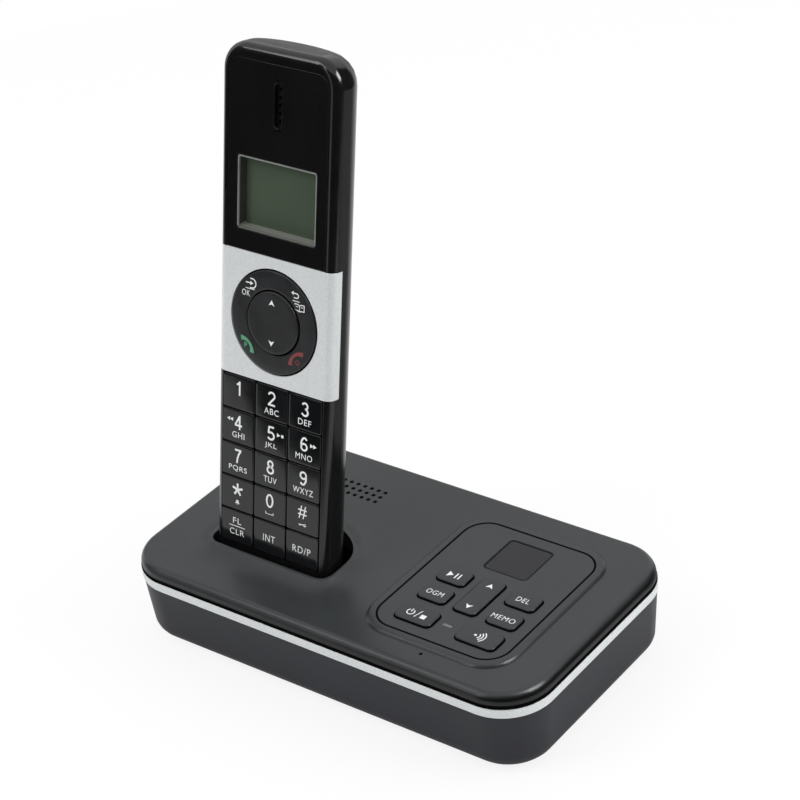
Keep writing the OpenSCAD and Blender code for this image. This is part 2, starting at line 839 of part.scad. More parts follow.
// Front shell of the handset with its lens seat, key opening and band seat
module handset_front_shell() {
    color(c_black)
        in_handset()
            difference() {
                union() {
                    difference() {
                        front_body();
                        through_depth(face_t, front_t + 1)
                            hs_outline(hs_wall);
                    }
                    for (x = [-1, 1]) {
                        depth_bar(x * hscrew_x, hscrew_z, 2.6, face_t - 0.5, front_t);
                        depth_bar(x * (hboard_hw - 2), hboard_top - 2.2, 1.6, face_t - 0.5, board_face);
                        depth_bar(x * (hboard_hw - 4), hmic_z, 1.6, face_t - 0.5, board_face);
                    }
                }
                through_depth(-1, lens_t)
                    lens_outline();
                through_depth(-1, face_t + 1)
                    lcd_outline(-1.5);
                for (i = [-2 : 2])
                    depth_bar(0, ear_z + 2.4 * i, 0.6, -1, face_t + 1);
                through_depth(-1, face_t + 1)
                    translate([-keys_hw - key_fit, keypad_low + key_gap / 2 - key_fit])
                        square([2 * (keys_hw + key_fit), band_low - keypad_low - key_gap / 2 + key_fit]);
                difference() {
                    span([-hs_w, -1, band_low], [hs_w, band_reach, band_top]);
                    lengthwise(band_low - 1, band_top + 1)
                        front_section(band_t);
                }
                depth_bar(0, nav_z, nav_bore, -1, face_t + 1);
                depth_bar(0, hmic_z, 0.6, -1, face_t + 1);
                for (x = [-1, 1]) {
                    depth_bar(x * hscrew_x, hscrew_z, hscrew_r, lens_t + 0.6, front_t + 1);
                    translate([x * pad_x, pad_y, -hs_below])
                        span([-2, -1.5, -1], [2, 1.5, 3]);
                }
            }
}

// Rear shell of the handset with the battery bay, the finger scoop and the ringer seat
module handset_rear_shell() {
    bay_wall = 1.5;
    inner = rear_wall + 0.4;
    scoop_low = door_low - scoop_h;
    color(c_black)
        in_handset()
            difference() {
                union() {
                    difference() {
                        rear_body(0);
                        translate([0, -0.01, 0])
                            rear_body(rear_wall);
                    }
                    for (z = [cell_low - plate_t - bay_wall, cell_top + plate_t])
                        lengthwise(z, z + bay_wall)
                            rear_section(rear_wall - 0.4);
                    intersection() {
                        lengthwise(scoop_low - 1.5, door_low + 1.5)
                            rear_section(rear_wall - 0.4);
                        difference() {
                            span([-door_open_hw - 1.5, front_t, scoop_low - 1.5],
                                [door_open_hw + 1.5, hs_t, door_low + 1.5]);
                            lengthwise(scoop_low - 3, door_low + 3)
                                rear_section(inner + 1.4);
                        }
                    }
                    intersection() {
                        rear_body(0.5);
                        depth_bar(0, ringer_z, ringer_r + 1.3, ringer_seat - 3, hs_t);
                    }
                    intersection() {
                        rear_body(0.5);
                        for (x = [-1, 1])
                            depth_bar(x * hscrew_x, hscrew_z, 3.2, front_t, hs_t);
                    }
                }
                difference() {
                    span([-door_open_hw, front_t + 1, scoop_low],
                        [door_open_hw, hs_t + 1, door_top + door_fit]);
                    lengthwise(scoop_low - 1, door_top + 2)
                        rear_section(inner);
                }
                depth_bar(0, ringer_z, ringer_r, ringer_seat - 4, ringer_seat);
                depth_bar(0, ringer_z, ringer_r - 1.5, ringer_seat - 1, ringer_seat + 0.6);
                for (a = [0 : 60 : 300])
                    depth_bar(3.2 * cos(a), ringer_z + 3.2 * sin(a), 0.7, ringer_seat, hs_t + 1);
                depth_bar(0, ringer_z, 0.7, ringer_seat, hs_t + 1);
                for (x = [-1, 1]) {
                    depth_bar(x * hscrew_x, hscrew_z, hscrew_r, front_t - 1, hs_t);
                    depth_bar(x * hscrew_x, hscrew_z, 2.1, hscrew_seat, hs_t + 1);
                }
            }
}

// Bright band across the handset, wrapped over its sides
module silver_band() {
    color(c_silver)
        in_handset()
            difference() {
                lengthwise(band_low, band_top)
                    front_section(0);
                span([-hs_w, band_reach, band_low - 1], [hs_w, front_t + 1, band_top + 1]);
                translate([0, 0, -1])
                    lengthwise(band_low, band_top + 2)
                        front_section(band_t);
                depth_bar(0, nav_z, nav_bore, -1, band_t + 1);
            }
}

// Gloss lens with the display window and the earpiece slot
module display_lens() {
    color(c_black)
        in_handset()
            difference() {
                through_depth(0, lens_t)
                    lens_outline();
                through_depth(-1, lens_t + 1)
                    lcd_outline(0);
                through_depth(-1, lens_t + 1)
                    ear_outline();
            }
}

// Deep frame inside the display window, down to the glass
module display_bezel() {
    color(c_silver)
        in_handset()
            difference() {
                through_depth(0.1, lcd_depth)
                    lcd_outline(0);
                through_depth(-1, lcd_depth + 1)
                    lcd_outline(bezel_w);
            }
}

// Display glass and its holder on the handset's board
module display_module() {
    color(c_lcd)
        in_handset()
            through_depth(lcd_depth, board_face)
                translate([0, lcd_mid])
                    square([2 * lcd_hw + 2.4, lcd_h + 2.4], center = true);
}

// Earpiece capsule behind the slot
module earpiece_speaker() {
    color(c_black)
        in_handset()
            depth_bar(0, ear_z, earpiece_r, face_t, face_t + earpiece_t);
}

// Circuit board along the handset
module handset_board() {
    color(c_board)
        in_handset()
            through_depth(board_face, board_back)
                translate([0, (hboard_top + hboard_low) / 2])
                    outline(2 * hboard_hw, hboard_top - hboard_low, hboard_r);
}

// Rubber mat with a dome under each key and a pivot under the rocker
module keypad_mat() {
    mat_hw = hboard_hw - 0.5;
    color(c_rubber)
        in_handset() {
            span([-mat_hw, mat_face, keypad_low - 0.5], [mat_hw, board_face, band_low]);
            span([-mat_hw, board_face - 0.6, band_low - 0.5], [mat_hw, board_face, band_top - 1]);
            for (c = [-1 : 1], r = [0 : 4])
                translate([c * key_px, mat_face + 0.01, keypad_top - (r + 0.5) * key_pz])
                    rotate([90, 0, 0])
                        cylinder(h = mat_face + 0.01 - mat_dome, r1 = 3, r2 = 2.2);
            depth_bar(0, nav_z, pivot_r, 2.5, board_face - 0.3);
        }
}

// Two battery cells side by side
module battery_cells() {
    color(c_white)
        in_handset()
            for (x = [-cell_x, cell_x])
                translate([x, cell_y, cell_low]) {
                    cylinder(h = cell_l - 0.8, r = cell_d / 2);
                    cylinder(h = cell_l, r = 1.9);
                }
}

// Contact plates at both ends of the cells
module battery_contacts() {
    color(c_metal)
        in_handset()
            for (z = [cell_low - plate_t, cell_top])
                span([-cell_x - 4, cell_y - 3, z], [cell_x + 4, cell_y + 3, z + plate_t]);
}

// Battery door that slides down the back
module battery_door() {
    color(c_black)
        in_handset()
            intersection() {
                lengthwise(door_low, door_top)
                    difference() {
                        rear_section(0);
                        rear_section(rear_wall);
                    }
                span([-door_hw, front_t, door_low - 1], [door_hw, hs_t + 1, door_top + 1]);
            }
}

// Ringer capsule in its seat in the rear shell
module ringer_speaker() {
    color(c_black)
        in_handset()
            depth_bar(0, ringer_z, ringer_r, ringer_seat - 3.6, ringer_seat);
}

// Microphone capsule at the handset's foot
module handset_microphone() {
    color(c_black)
        in_handset()
            depth_bar(0, hmic_z, 2.4, face_t, board_face);
}

// Two charging pads in the handset's foot
module charge_contacts() {
    color(c_metal)
        in_handset()
            for (x = [-pad_x, pad_x])
                span([x - 2, pad_y - 1.5, -hs_below], [x + 2, pad_y + 1.5, -hs_below + 2.4]);
}

// Two screws that hold the handset's shells together
module handset_screws() {
    color(c_metal)
        in_handset()
            for (x = [-hscrew_x, hscrew_x])
                difference() {
                    union() {
                        depth_bar(x, hscrew_z, hscrew_r, lens_t + 1.2, hscrew_seat + 0.01);
                        depth_bar(x, hscrew_z, 1.9, hscrew_seat, hscrew_seat + 1.4);
                    }
                    for (s = [[2.4, 0.5], [0.5, 2.4]])
                        span([x - s[0] / 2, hscrew_seat + 0.7, hscrew_z - s[1] / 2],
                            [x + s[0] / 2, hscrew_seat + 2, hscrew_z + s[1] / 2]);
                }
}

// Turns a profile of [radius, depth] points about the ring key's axis
module nav_turned(profile) {
    in_handset()
        translate([0, 0, nav_z])
            rotate([-90, 0, 0])
                rotate_extrude()
                    polygon(profile);
}

// Ring key with four press places
module nav_ring() {
    inner = rocker_r + nav_gap;
    color(c_key)
        nav_turned([[inner, -0.05], [inner + 0.5, -ring_out], [nav_r - 1.1, -ring_out], [nav_r - 0.3, 0],
            [nav_r, 0.4], [nav_r, ring_back], [inner, ring_back]]);
}

// Rubber pad that carries the ring key
module nav_pad() {
    color(c_rubber)
        nav_turned([[rocker_r + 1.3, pad_face], [nav_r - 1.2, pad_face], [nav_r - 1.2, pad_face + pad_t],
            [rocker_r + 1.3, pad_face + pad_t]]);
}

// Round rocker for up and down
module nav_rocker() {
    color(c_key)
        nav_turned(concat([[0, -rocker_out]], arc(rocker_r - 1.2, -rocker_out + 0.9, 1.2, 0.9, -90, 0, 5),
            [[rocker_r, ring_back], [0, ring_back]]));
}

// Key cap of the handset's keypad by column and row
module phone_key(c, r) {
    edge = [[0, 0], [0, key_t - 0.35], [0.2, key_t - 0.1], [0.5, key_t]];
    color(c_key)
        in_handset()
            translate([(c - 1) * key_px, key_back, keypad_top - (r + 0.5) * key_pz])
                rotate([90, 0, 0])
                    run_solid(key_w, key_h, 0.7, edge);
}

module key_1() {
    phone_key(0, 0);
}

module key_2() {
    phone_key(1, 0);
}

module key_3() {
    phone_key(2, 0);
}

module key_4() {
    phone_key(0, 1);
}

module key_5() {
    phone_key(1, 1);
}

module key_6() {
    phone_key(2, 1);
}

module key_7() {
    phone_key(0, 2);
}

module key_8() {
    phone_key(1, 2);
}

module key_9() {
    phone_key(2, 2);
}

module key_star() {
    phone_key(0, 3);
}

module key_0() {
    phone_key(1, 3);
}

module key_hash() {
    phone_key(2, 3);
}

module key_flash() {
    phone_key(0, 4);
}

module key_intercom() {
    phone_key(1, 4);
}

module key_redial() {
    phone_key(2, 4);
}

base_top_cover();
base_bottom_cover();
trim_strip();
control_panel();
message_window();
message_display();
panel_mat();
panel_board();
key_play();
key_greeting();
key_power();
key_delete();
key_memo();
key_page();
volume_rocker();
base_board();
base_speaker();
base_microphone();
cradle_contacts();
indicator_light();
power_socket();
line_socket();
rubber_feet();
base_screws();
handset_front_shell();
handset_rear_shell();
silver_band();
display_lens();
display_bezel();
display_module();
earpiece_speaker();
handset_board();
keypad_mat();
battery_cells();
battery_contacts();
battery_door();
ringer_speaker();
handset_microphone();
charge_contacts();
handset_screws();
nav_ring();
nav_pad();
nav_rocker();
key_1();
key_2();
key_3();
key_4();
key_5();
key_6();
key_7();
key_8();
key_9();
key_star();
key_0();
key_hash();
key_flash();
key_intercom();
key_redial();
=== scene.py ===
"""Looks of a cordless desk phone: a slim handset standing in an answering-machine base.

Sizes are millimetres in the part's own frame and become metres when a mesh is made.
"""

import logging
from collections.abc import Callable, Iterable
from dataclasses import dataclass
from enum import Enum

import bmesh
import bpy
import numpy as np
from mathutils import Matrix


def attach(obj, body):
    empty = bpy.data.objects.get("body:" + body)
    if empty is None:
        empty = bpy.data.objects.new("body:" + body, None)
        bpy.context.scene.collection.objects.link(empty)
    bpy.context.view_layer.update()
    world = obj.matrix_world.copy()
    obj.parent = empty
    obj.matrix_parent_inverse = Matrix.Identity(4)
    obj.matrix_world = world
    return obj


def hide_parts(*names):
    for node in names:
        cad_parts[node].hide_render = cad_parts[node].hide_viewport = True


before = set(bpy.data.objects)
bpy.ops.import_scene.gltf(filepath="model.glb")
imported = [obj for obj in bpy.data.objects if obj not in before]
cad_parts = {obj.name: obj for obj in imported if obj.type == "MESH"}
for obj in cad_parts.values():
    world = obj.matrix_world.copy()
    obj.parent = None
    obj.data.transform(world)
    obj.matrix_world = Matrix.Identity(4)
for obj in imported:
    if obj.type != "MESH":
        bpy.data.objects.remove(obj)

Array = np.ndarray
Place = Callable[[Array], Array]
Level = Callable[[Array], Array]
Pair = tuple[float, float]
Triple = tuple[float, float, float]
Section = tuple[Pair, ...]
# A path with its width at both ends and in the middle.
Stroke = tuple[Array, float, float]
Tree = bpy.types.NodeTree
Socket = bpy.types.NodeSocket
Object = bpy.types.Object

LOG = logging.getLogger("phone")
# Metres in a millimetre.
MM = 0.001
# Points this close, in metres, are one point.
WELD = 2e-6
# Backward lean of the standing handset, in degrees.
LEAN_DEGREES = 12.8
# Way that the handset's face looks.
FACE_WAY = (0.0, -1.0, 0.2)
# Middle of the ring key along the handset.
NAV_MIDDLE = 77.5
# Points between two corners of a rounded rectangle.
SIDE_POINTS = 6
# Noise stays between these values nearly everywhere.
NOISE_SPAN = (0.3, 0.7)
# Half the thickness of the ink, drawn thicker than real ink so that it stands clear of the face.
INK_FILM = 0.03
# Width of a printed numeral's stroke.
NUMERAL_PEN = 0.62
# Step from letter to letter against the plain face's.
LETTER_STEP = 1.12


class Slot(Enum):
    """Material slots that the part's record names."""

    SHELL = "moulded_grey"
    LOWER = "moulded_dark_grey"
    SILVER = "bright_silver"
    GLOSS = "gloss_black"
    WINDOW = "tinted_window"
    KEY = "key_plastic"
    PANEL_KEY = "panel_key_plastic"
    SILICONE = "silicone"
    BOARD = "circuit_board"
    METAL = "plated_metal"
    CAPSULE = "capsule_black"
    GLASS = "display_glass"
    LIGHT = "light_pipe"
    SLEEVE = "cell_sleeve"


def linear(colour: str) -> tuple[float, float, float, float]:
    """Turns an sRGB hex colour into the linear values that a socket takes.

    Args:
        colour: Colour as "#rrggbb".

    Returns:
        Linear red, green and blue with full alpha.
    """
    part = np.array([int(colour[i:i + 2], 16) for i in (1, 3, 5)]) / 255
    value = np.where(part <= 0.04045, part / 12.92, ((part + 0.055) / 1.055) ** 2.4)
    return (*value.tolist(), 1.0)


def add(tree: Tree, kind: str, values: dict | None = None, links: dict | None = None,
        **settings: object) -> bpy.types.Node:
    """Adds a node with its settings, socket values and incoming links.

    Args:
        tree: Node tree that takes the node.
        kind: Blender's name of the node type.
        values: Socket values by socket name or index.
        links: Output sockets to join, by input name or index.
        **settings: Attributes of the node itself.

    Returns:
        The new node.
    """
    node = tree.nodes.new(kind)
    for name, value in settings.items():
        setattr(node, name, value)
    for name, value in (values or {}).items():
        node.inputs[name].default_value = value
    for name, socket in (links or {}).items():
        tree.links.new(socket, node.inputs[name])
    return node


def spread(tree: Tree, value: Socket, span: Pair = (0.0, 1.0), to: Pair = (0.0, 1.0),
           **settings: object) -> Socket:
    """Maps a value from one span to another and holds it at the ends.

    Args:
        tree: Node tree that takes the node.
        value: The value.
        span: Its span.
        to: The new span.
        **settings: Attributes of the node itself.

    Returns:
        The mapped value.
    """
    ends = {"From Min": span[0], "From Max": span[1], "To Min": to[0], "To Max": to[1]}
    return add(tree, "ShaderNodeMapRange", ends, {"Value": value}, **settings).outputs[0]


def noise(tree: Tree, coords: Socket, size_mm: float, detail: float) -> Socket:
    """Adds noise with patches of a size in millimetres."""
    values = {"Scale": 1 / (size_mm * MM), "Detail": detail}
    return add(tree, "ShaderNodeTexNoise", values, {"Vector": coords}).outputs[0]


def blank(owner: bpy.types.Material | bpy.types.World) -> Tree:
    """Empties the node tree of a material or a world.

    Args:
        owner: The material or world.

    Returns:
        The empty tree.
    """
    owner.use_nodes = True
    owner.node_tree.nodes.clear()
    return owner.node_tree


@dataclass(frozen=True)
class Canvas:
    """What a finish draws its colour on.

    Attributes:
        tree: The material's node tree.
        coords: Object coordinates.
        patch: Slow noise, spread over 0 to 1.
    """

    tree: Tree
    coords: Socket
    patch: Socket

    def cells(self, size_mm: float, **settings: object) -> bpy.types.Node:
        """Adds cells of a size in millimetres."""
        return add(self.tree, "ShaderNodeTexVoronoi", {"Scale": 1 / (size_mm * MM)},
                   {"Vector": self.coords}, **settings)


@dataclass(frozen=True)
class Finish:
    """A surface whose colour, gloss and fine relief wander as the real one's do.

    Attributes:
        name: Common name of the material and how its surface was made.
        colour: Main colour.
        shade: Colour that it wanders to.
        roughness: Middle roughness.
        slot: The record's slot for it.
        swing: How far the roughness wanders either way.
        patch_mm: Size of the wandering patches.
        grain_mm: Size of the fine relief.
        relief_mm: Height of the fine relief.
        metallic: Metal share of the surface.
        ior: Index of refraction.
        specular: Strength of the clear reflection.
    """

    name: str
    colour: str
    shade: str
    roughness: float
    slot: Slot
    swing: float
    patch_mm: float
    grain_mm: float
    relief_mm: float
    metallic: float = 0.0
    ior: float = 1.5
    specular: float = 0.5

    def material(self) -> bpy.types.Material:
        """Returns the finish's material, made at its first use."""
        return bpy.data.materials.get(self.name) or self._draw()

    def share(self, canvas: Canvas) -> Socket:
        """Gives the main colour's share, here by the slow patches."""
        return canvas.patch

    def pattern(self, canvas: Canvas) -> Socket:
        """Draws the colour: the two tones, mixed by the main one's share."""
        tones, by = {6: linear(self.shade), 7: linear(self.colour)}, {0: self.share(canvas)}
        return add(canvas.tree, "ShaderNodeMix", tones, by, data_type="RGBA").outputs[2]

    def lit(self) -> dict[str, object]:
        """Gives the shader's values for a glow, here none."""
        return {}

    def _draw(self) -> bpy.types.Material:
        """Builds the node tree: slow patches for tone and gloss, fine noise for relief.

        Returns:
            The material.
        """
        material = bpy.data.materials.new(self.name)
        tree = blank(material)
        coords = add(tree, "ShaderNodeTexCoord").outputs["Object"]
        patch = spread(tree, noise(tree, coords, self.patch_mm, detail=3.0), NOISE_SPAN)
        rough = spread(tree, patch, to=(self.roughness - self.swing, self.roughness + self.swing))
        grain = noise(tree, coords, self.grain_mm, detail=2.0)
        bump = add(tree, "ShaderNodeBump", {"Distance": self.relief_mm * MM}, {"Height": grain})
        shader = add(tree, "ShaderNodeBsdfPrincipled",
                     {"Metallic": self.metallic, "IOR": self.ior,
                      "Specular IOR Level": self.specular, **self.lit()},
                     {"Base Color": self.pattern(Canvas(tree, coords, patch)),
                      "Roughness": rough, "Normal": bump.outputs[0]})
        add(tree, "ShaderNodeOutputMaterial", {}, {"Surface": shader.outputs[0]})
        return material


@dataclass(frozen=True)
class FlakePaint(Finish):
    """Silver lacquer whose flakes sparkle a little from grain to grain.

    Attributes:
        flake_mm: Size of a flake, drawn coarser than a real one so that it shows.
    """

    flake_mm: float = 0.3

    def share(self, canvas: Canvas) -> Socket:
        """Makes each flake, a small cell, a little lighter or darker."""
        tone = {0: canvas.cells(self.flake_mm).outputs["Color"]}
        return add(canvas.tree, "ShaderNodeSeparateColor", {}, tone).outputs[0]


@dataclass(frozen=True)
class DotGlass(Finish):
    """Liquid-crystal glass: a grey-green reflector under a faint grid of dots.

    Attributes:
        dot_mm: Pitch of the dots.
        line: Colour of the lines between them.
    """

    dot_mm: float = 0.4
    line: str = "#3d463b"

    def pattern(self, canvas: Canvas) -> Socket:
        """Lays square dots with thin lines over the two-tone ground.

        Args:
            canvas: What it is drawn on.

        Returns:
            The colour.
        """
        turned = add(canvas.tree, "ShaderNodeMapping",
                     {"Rotation": (np.radians(LEAN_DEGREES - 90), 0.0, 0.0)},
                     {"Vector": canvas.coords})
        ground = super().pattern(canvas)
        dots = add(canvas.tree, "ShaderNodeTexBrick",
                   {"Mortar": linear(self.line), "Scale": 1 / (self.dot_mm * MM),
                    "Mortar Size": 0.07, "Mortar Smooth": 0.4, "Brick Width": 1.0,
                    "Row Height": 1.0},
                   {"Vector": turned.outputs[0], "Color1": ground, "Color2": ground}, offset=0.0)
        return dots.outputs[0]


@dataclass(frozen=True)
class PaintedShadingBand(Finish):
    """Moulding whose lower part is painted a band of another colour: painted shade where the band
    is darker, painted light where it is lighter.

    Attributes:
        painted_shading: Colour of the band, painted shade when darker than the moulding and painted
            light when lighter.
        level_mm: Height up to which the band is full.
        blend_mm: Height over which it fades.
        lean: Rise of that height to the right, for each mm.
    """

    painted_shading: str = "#080808"
    level_mm: float = 0.0
    blend_mm: float = 0.5
    lean: float = 0.0

    def pattern(self, canvas: Canvas) -> Socket:
        """Mixes the band of painted shading in below its level.

        Args:
            canvas: What it is drawn on.

        Returns:
            The colour.
        """
        tree = canvas.tree
        spot = add(tree, "ShaderNodeSeparateXYZ", {}, {0: canvas.coords}).outputs
        height = add(tree, "ShaderNodeMath", {1: -self.lean}, {0: spot["X"], 2: spot["Z"]},
                     operation="MULTIPLY_ADD").outputs[0]
        above = spread(tree, height, (self.level_mm * MM, (self.level_mm + self.blend_mm) * MM))
        # The band below the level is painted shading, not a colour of the moulding.
        mix = add(tree, "ShaderNodeMix", {6: linear(self.painted_shading)},
                  {0: above, 7: super().pattern(canvas)}, data_type="RGBA")
        return mix.outputs[2]


@dataclass(frozen=True)
class TraceBoard(Finish):
    """Glass-fibre board under solder mask, with copper runs showing as lighter lines.

    Attributes:
        run_mm: Spacing of the copper runs.
        edge: Shares of a cell between which a run begins.
    """

    run_mm: float = 2.2
    edge: Pair = (0.25, 0.35)

    def share(self, canvas: Canvas) -> Socket:
        """Draws runs as the edges of blocky cells."""
        cells = canvas.cells(self.run_mm, distance="CHEBYCHEV")
        return spread(canvas.tree, cells.outputs[0], self.edge)


@dataclass(frozen=True)
class Lamp(Finish):
    """Frosted light pipe that glows a little.

    Attributes:
        glow: Strength of the glow.
    """

    glow: float = 0.03

    def lit(self) -> dict[str, object]:
        """Gives the shader's values for the glow."""
        return {"Emission Color": linear(self.colour), "Emission Strength": self.glow}


# Spark-textured ABS of the upper shell: a satin charcoal that mirrors bright things as soft
# patches. On the lower edge and deep in the cradle pocket, black is painted in as shade.
SHELL = PaintedShadingBand("abs_spark_textured_charcoal", "#2d3032", "#292b2d", 0.3, Slot.SHELL, 0.03, 18.0,
                0.45, 0.008, specular=0.4, painted_shading="#080909", level_mm=27.8, blend_mm=1.1,
                lean=0.0145)
# The lower shell is the same plastic, a shade bluer.
LOWER = Finish("abs_spark_textured_slate", "#2a2b31", "#26272c", 0.38, Slot.LOWER, 0.03, 18.0,
               0.45, 0.008, specular=0.3)
# Injection-moulded ABS of the handset: black with a soft polish.
BODY = Finish("abs_polished_black", "#111112", "#0d0d0e", 0.17, Slot.GLOSS, 0.04, 10.0, 0.6,
              0.003)
# Cast acrylic lens, printed black behind: a deep even black with a hard polish.
LENS = Finish("acrylic_back_printed_black", "#121212", "#0f0f0f", 0.06, Slot.GLOSS, 0.03, 16.0,
              1.5, 0.0006, ior=1.49)
# Silver lacquer on ABS: a pale satin with a fine sparkle.
SILVER = FlakePaint("lacquered_abs_silver", "#dcdfe0", "#cdd1d2", 0.38, Slot.SILVER, 0.03, 12.0,
                    0.3, 0.003, 0.15)
# Satin lining between the rim and the glass, painted lighter along the bottom: painted light.
WALL = PaintedShadingBand("styrene_satin_grey", "#363833", "#30322d", 0.42, Slot.SILVER, 0.05, 4.0, 0.4,
               0.004, painted_shading="#7c7e77", level_mm=135.45, blend_mm=0.35)
# Bright lacquered rim round the display glass, painted darker along the bottom: painted shade.
BEZEL = PaintedShadingBand("lacquered_styrene_steel_grey", "#9b9f9c", "#8a8e8b", 0.3, Slot.SILVER, 0.04, 6.0,
                0.3, 0.002, 0.35, painted_shading="#5e605c", level_mm=135.42, blend_mm=0.25)
# Hard-coated polycarbonate key tiles: black and glossy, so they carry the floor's reflection.
TILE = Finish("polycarbonate_hard_coated_black", "#121315", "#0e0f10", 0.09, Slot.KEY, 0.03, 7.0,
              0.8, 0.001, ior=1.55, specular=0.4)
# Satin polycarbonate of the ring key and its rocker: a dark graphite.
RING = Finish("polycarbonate_satin_graphite", "#202123", "#1c1d1e", 0.34, Slot.KEY, 0.04, 6.0,
              0.4, 0.004)
# Panel keys: the shell's charcoal; the caps' sides are painted black below the rounded edge,
# as painted shade of the gaps round them.
PANEL_KEY = PaintedShadingBand("abs_sprayed_charcoal", "#2c2f31", "#282a2b", 0.32, Slot.PANEL_KEY, 0.03, 8.0,
                    0.35, 0.005, specular=0.36, painted_shading="#070707", level_mm=31.48, blend_mm=0.1)
# Smoked polycarbonate over the message counter: nearly black, with a soft reflection.
WINDOW = Finish("polycarbonate_smoked", "#131419", "#0f1014", 0.12, Slot.WINDOW, 0.03, 9.0, 1.2,
                0.001, specular=0.34)
# Liquid-crystal glass: grey-green, with dots just fine enough to see.
GLASS = DotGlass("liquid_crystal_glass", "#4a5546", "#434e40", 0.2, Slot.GLASS, 0.03, 22.0, 0.8,
                 0.0005)
# Frosted acrylic light pipe: a milky grey bar.
LIGHT = Lamp("acrylic_frosted_light_pipe", "#6f706c", "#626360", 0.4, Slot.LIGHT, 0.05, 1.5, 0.2,
             0.004)
# Moulded silicone of mats and feet: a dull black.
SILICONE = Finish("silicone_moulded_black", "#1a1a1a", "#151515", 0.62, Slot.SILICONE, 0.06, 6.0,
                  0.3, 0.008)
# Matte black sheets in the seams: painted shade that stands for the shadow in the gaps.
GAP_SHADE = Finish("matte_black_painted_gap_shade", "#050505", "#030303", 0.9, Slot.SILICONE, 0.05, 3.0, 0.3,
              0.01, specular=0.05)
# Nickel-plated spring metal and screws: a warm bright grey.
METAL = Finish("nickel_plated_steel", "#cfc7b4", "#bdb5a2", 0.24, Slot.METAL, 0.06, 1.5, 0.2,
               0.002, 1.0)
# Thermoplastic of sockets and capsules: a matte black.
CAPSULE = Finish("pbt_moulded_black", "#1c1c1d", "#161617", 0.48, Slot.CAPSULE, 0.05, 5.0, 0.35,
                 0.006)
# Green solder mask with lighter runs.
BOARD = TraceBoard("fibreglass_solder_masked", "#1f5a36", "#2f7a4a", 0.34, Slot.BOARD, 0.04, 8.0,
                   0.4, 0.004)
# Shrink sleeve of the cells: an off-white film.
SLEEVE = Finish("pvc_shrink_sleeve", "#dadbd6", "#cfd0cb", 0.36, Slot.SLEEVE, 0.06, 9.0, 0.9, 0.01)
# Pad-printed inks: an even film with a slightly uneven density.
FILM = (0.42, Slot.KEY, 0.05, 1.2, 0.15, 0.002)
WHITE_INK = Finish("ink_pad_printed_white", "#e9ebeb", "#dfe1e1", *FILM)
GREEN_INK = Finish("ink_pad_printed_green", "#579d79", "#4c916d", *FILM)
RED_INK = Finish("ink_pad_printed_red", "#843a3d", "#793437", *FILM)


@dataclass(frozen=True)
class Lean:
    """Frame of the standing handset: across it, into its depth, and along it.

    Attributes:
        across: Middle of the handset from the base's middle.
        forward: Datum's distance from the base's middle, front negative.
        up: Datum's height above the table.
    """

    across: float = -32.5
    forward: float = -21.3
    up: float = 32.85

    def to_world(self, points: Array) -> Array:
        """Turns points about the cross axis by the lean and moves them to the cradle.

        Args:
            points: Rows of across, depth and along.

        Returns:
            Rows of x, y and z.
        """
        turn = np.radians(LEAN_DEGREES)
        u, depth, along = np.moveaxis(points, -1, 0)
        y = depth * np.cos(turn) + along * np.sin(turn)
        z = along * np.cos(turn) - depth * np.sin(turn)
        return np.stack([u + self.across, y + self.forward, z + self.up], axis=-1)


LEAN = Lean()


def on_face(u: float, v: float) -> Place:
    """Makes the placing of flat work on the handset's face, about a middle across and along."""
    return lambda flat: LEAN.to_world(
        np.stack([flat[:, 0] + u, -flat[:, 2], flat[:, 1] + v], axis=-1))


def on_panel(x: float, y: float) -> Place:
    """Makes the placing of flat work on the base, about a middle across and along its depth."""
    return lambda flat: flat + np.array([x, y, 0.0])


def new_object(name: str, points: Array, faces: list[list[int]]) -> Object:
    """Makes a mesh object and links it to the scene.

    Args:
        name: Name of the object.
        points: Rows of x, y and z in millimetres.
        faces: Point numbers of each face.

    Returns:
        The new object.
    """
    mesh = bpy.data.meshes.new(name)
    mesh.from_pydata((points * MM).tolist(), [], faces)
    made = bpy.data.objects.new(name, mesh)
    bpy.context.scene.collection.objects.link(made)
    return made


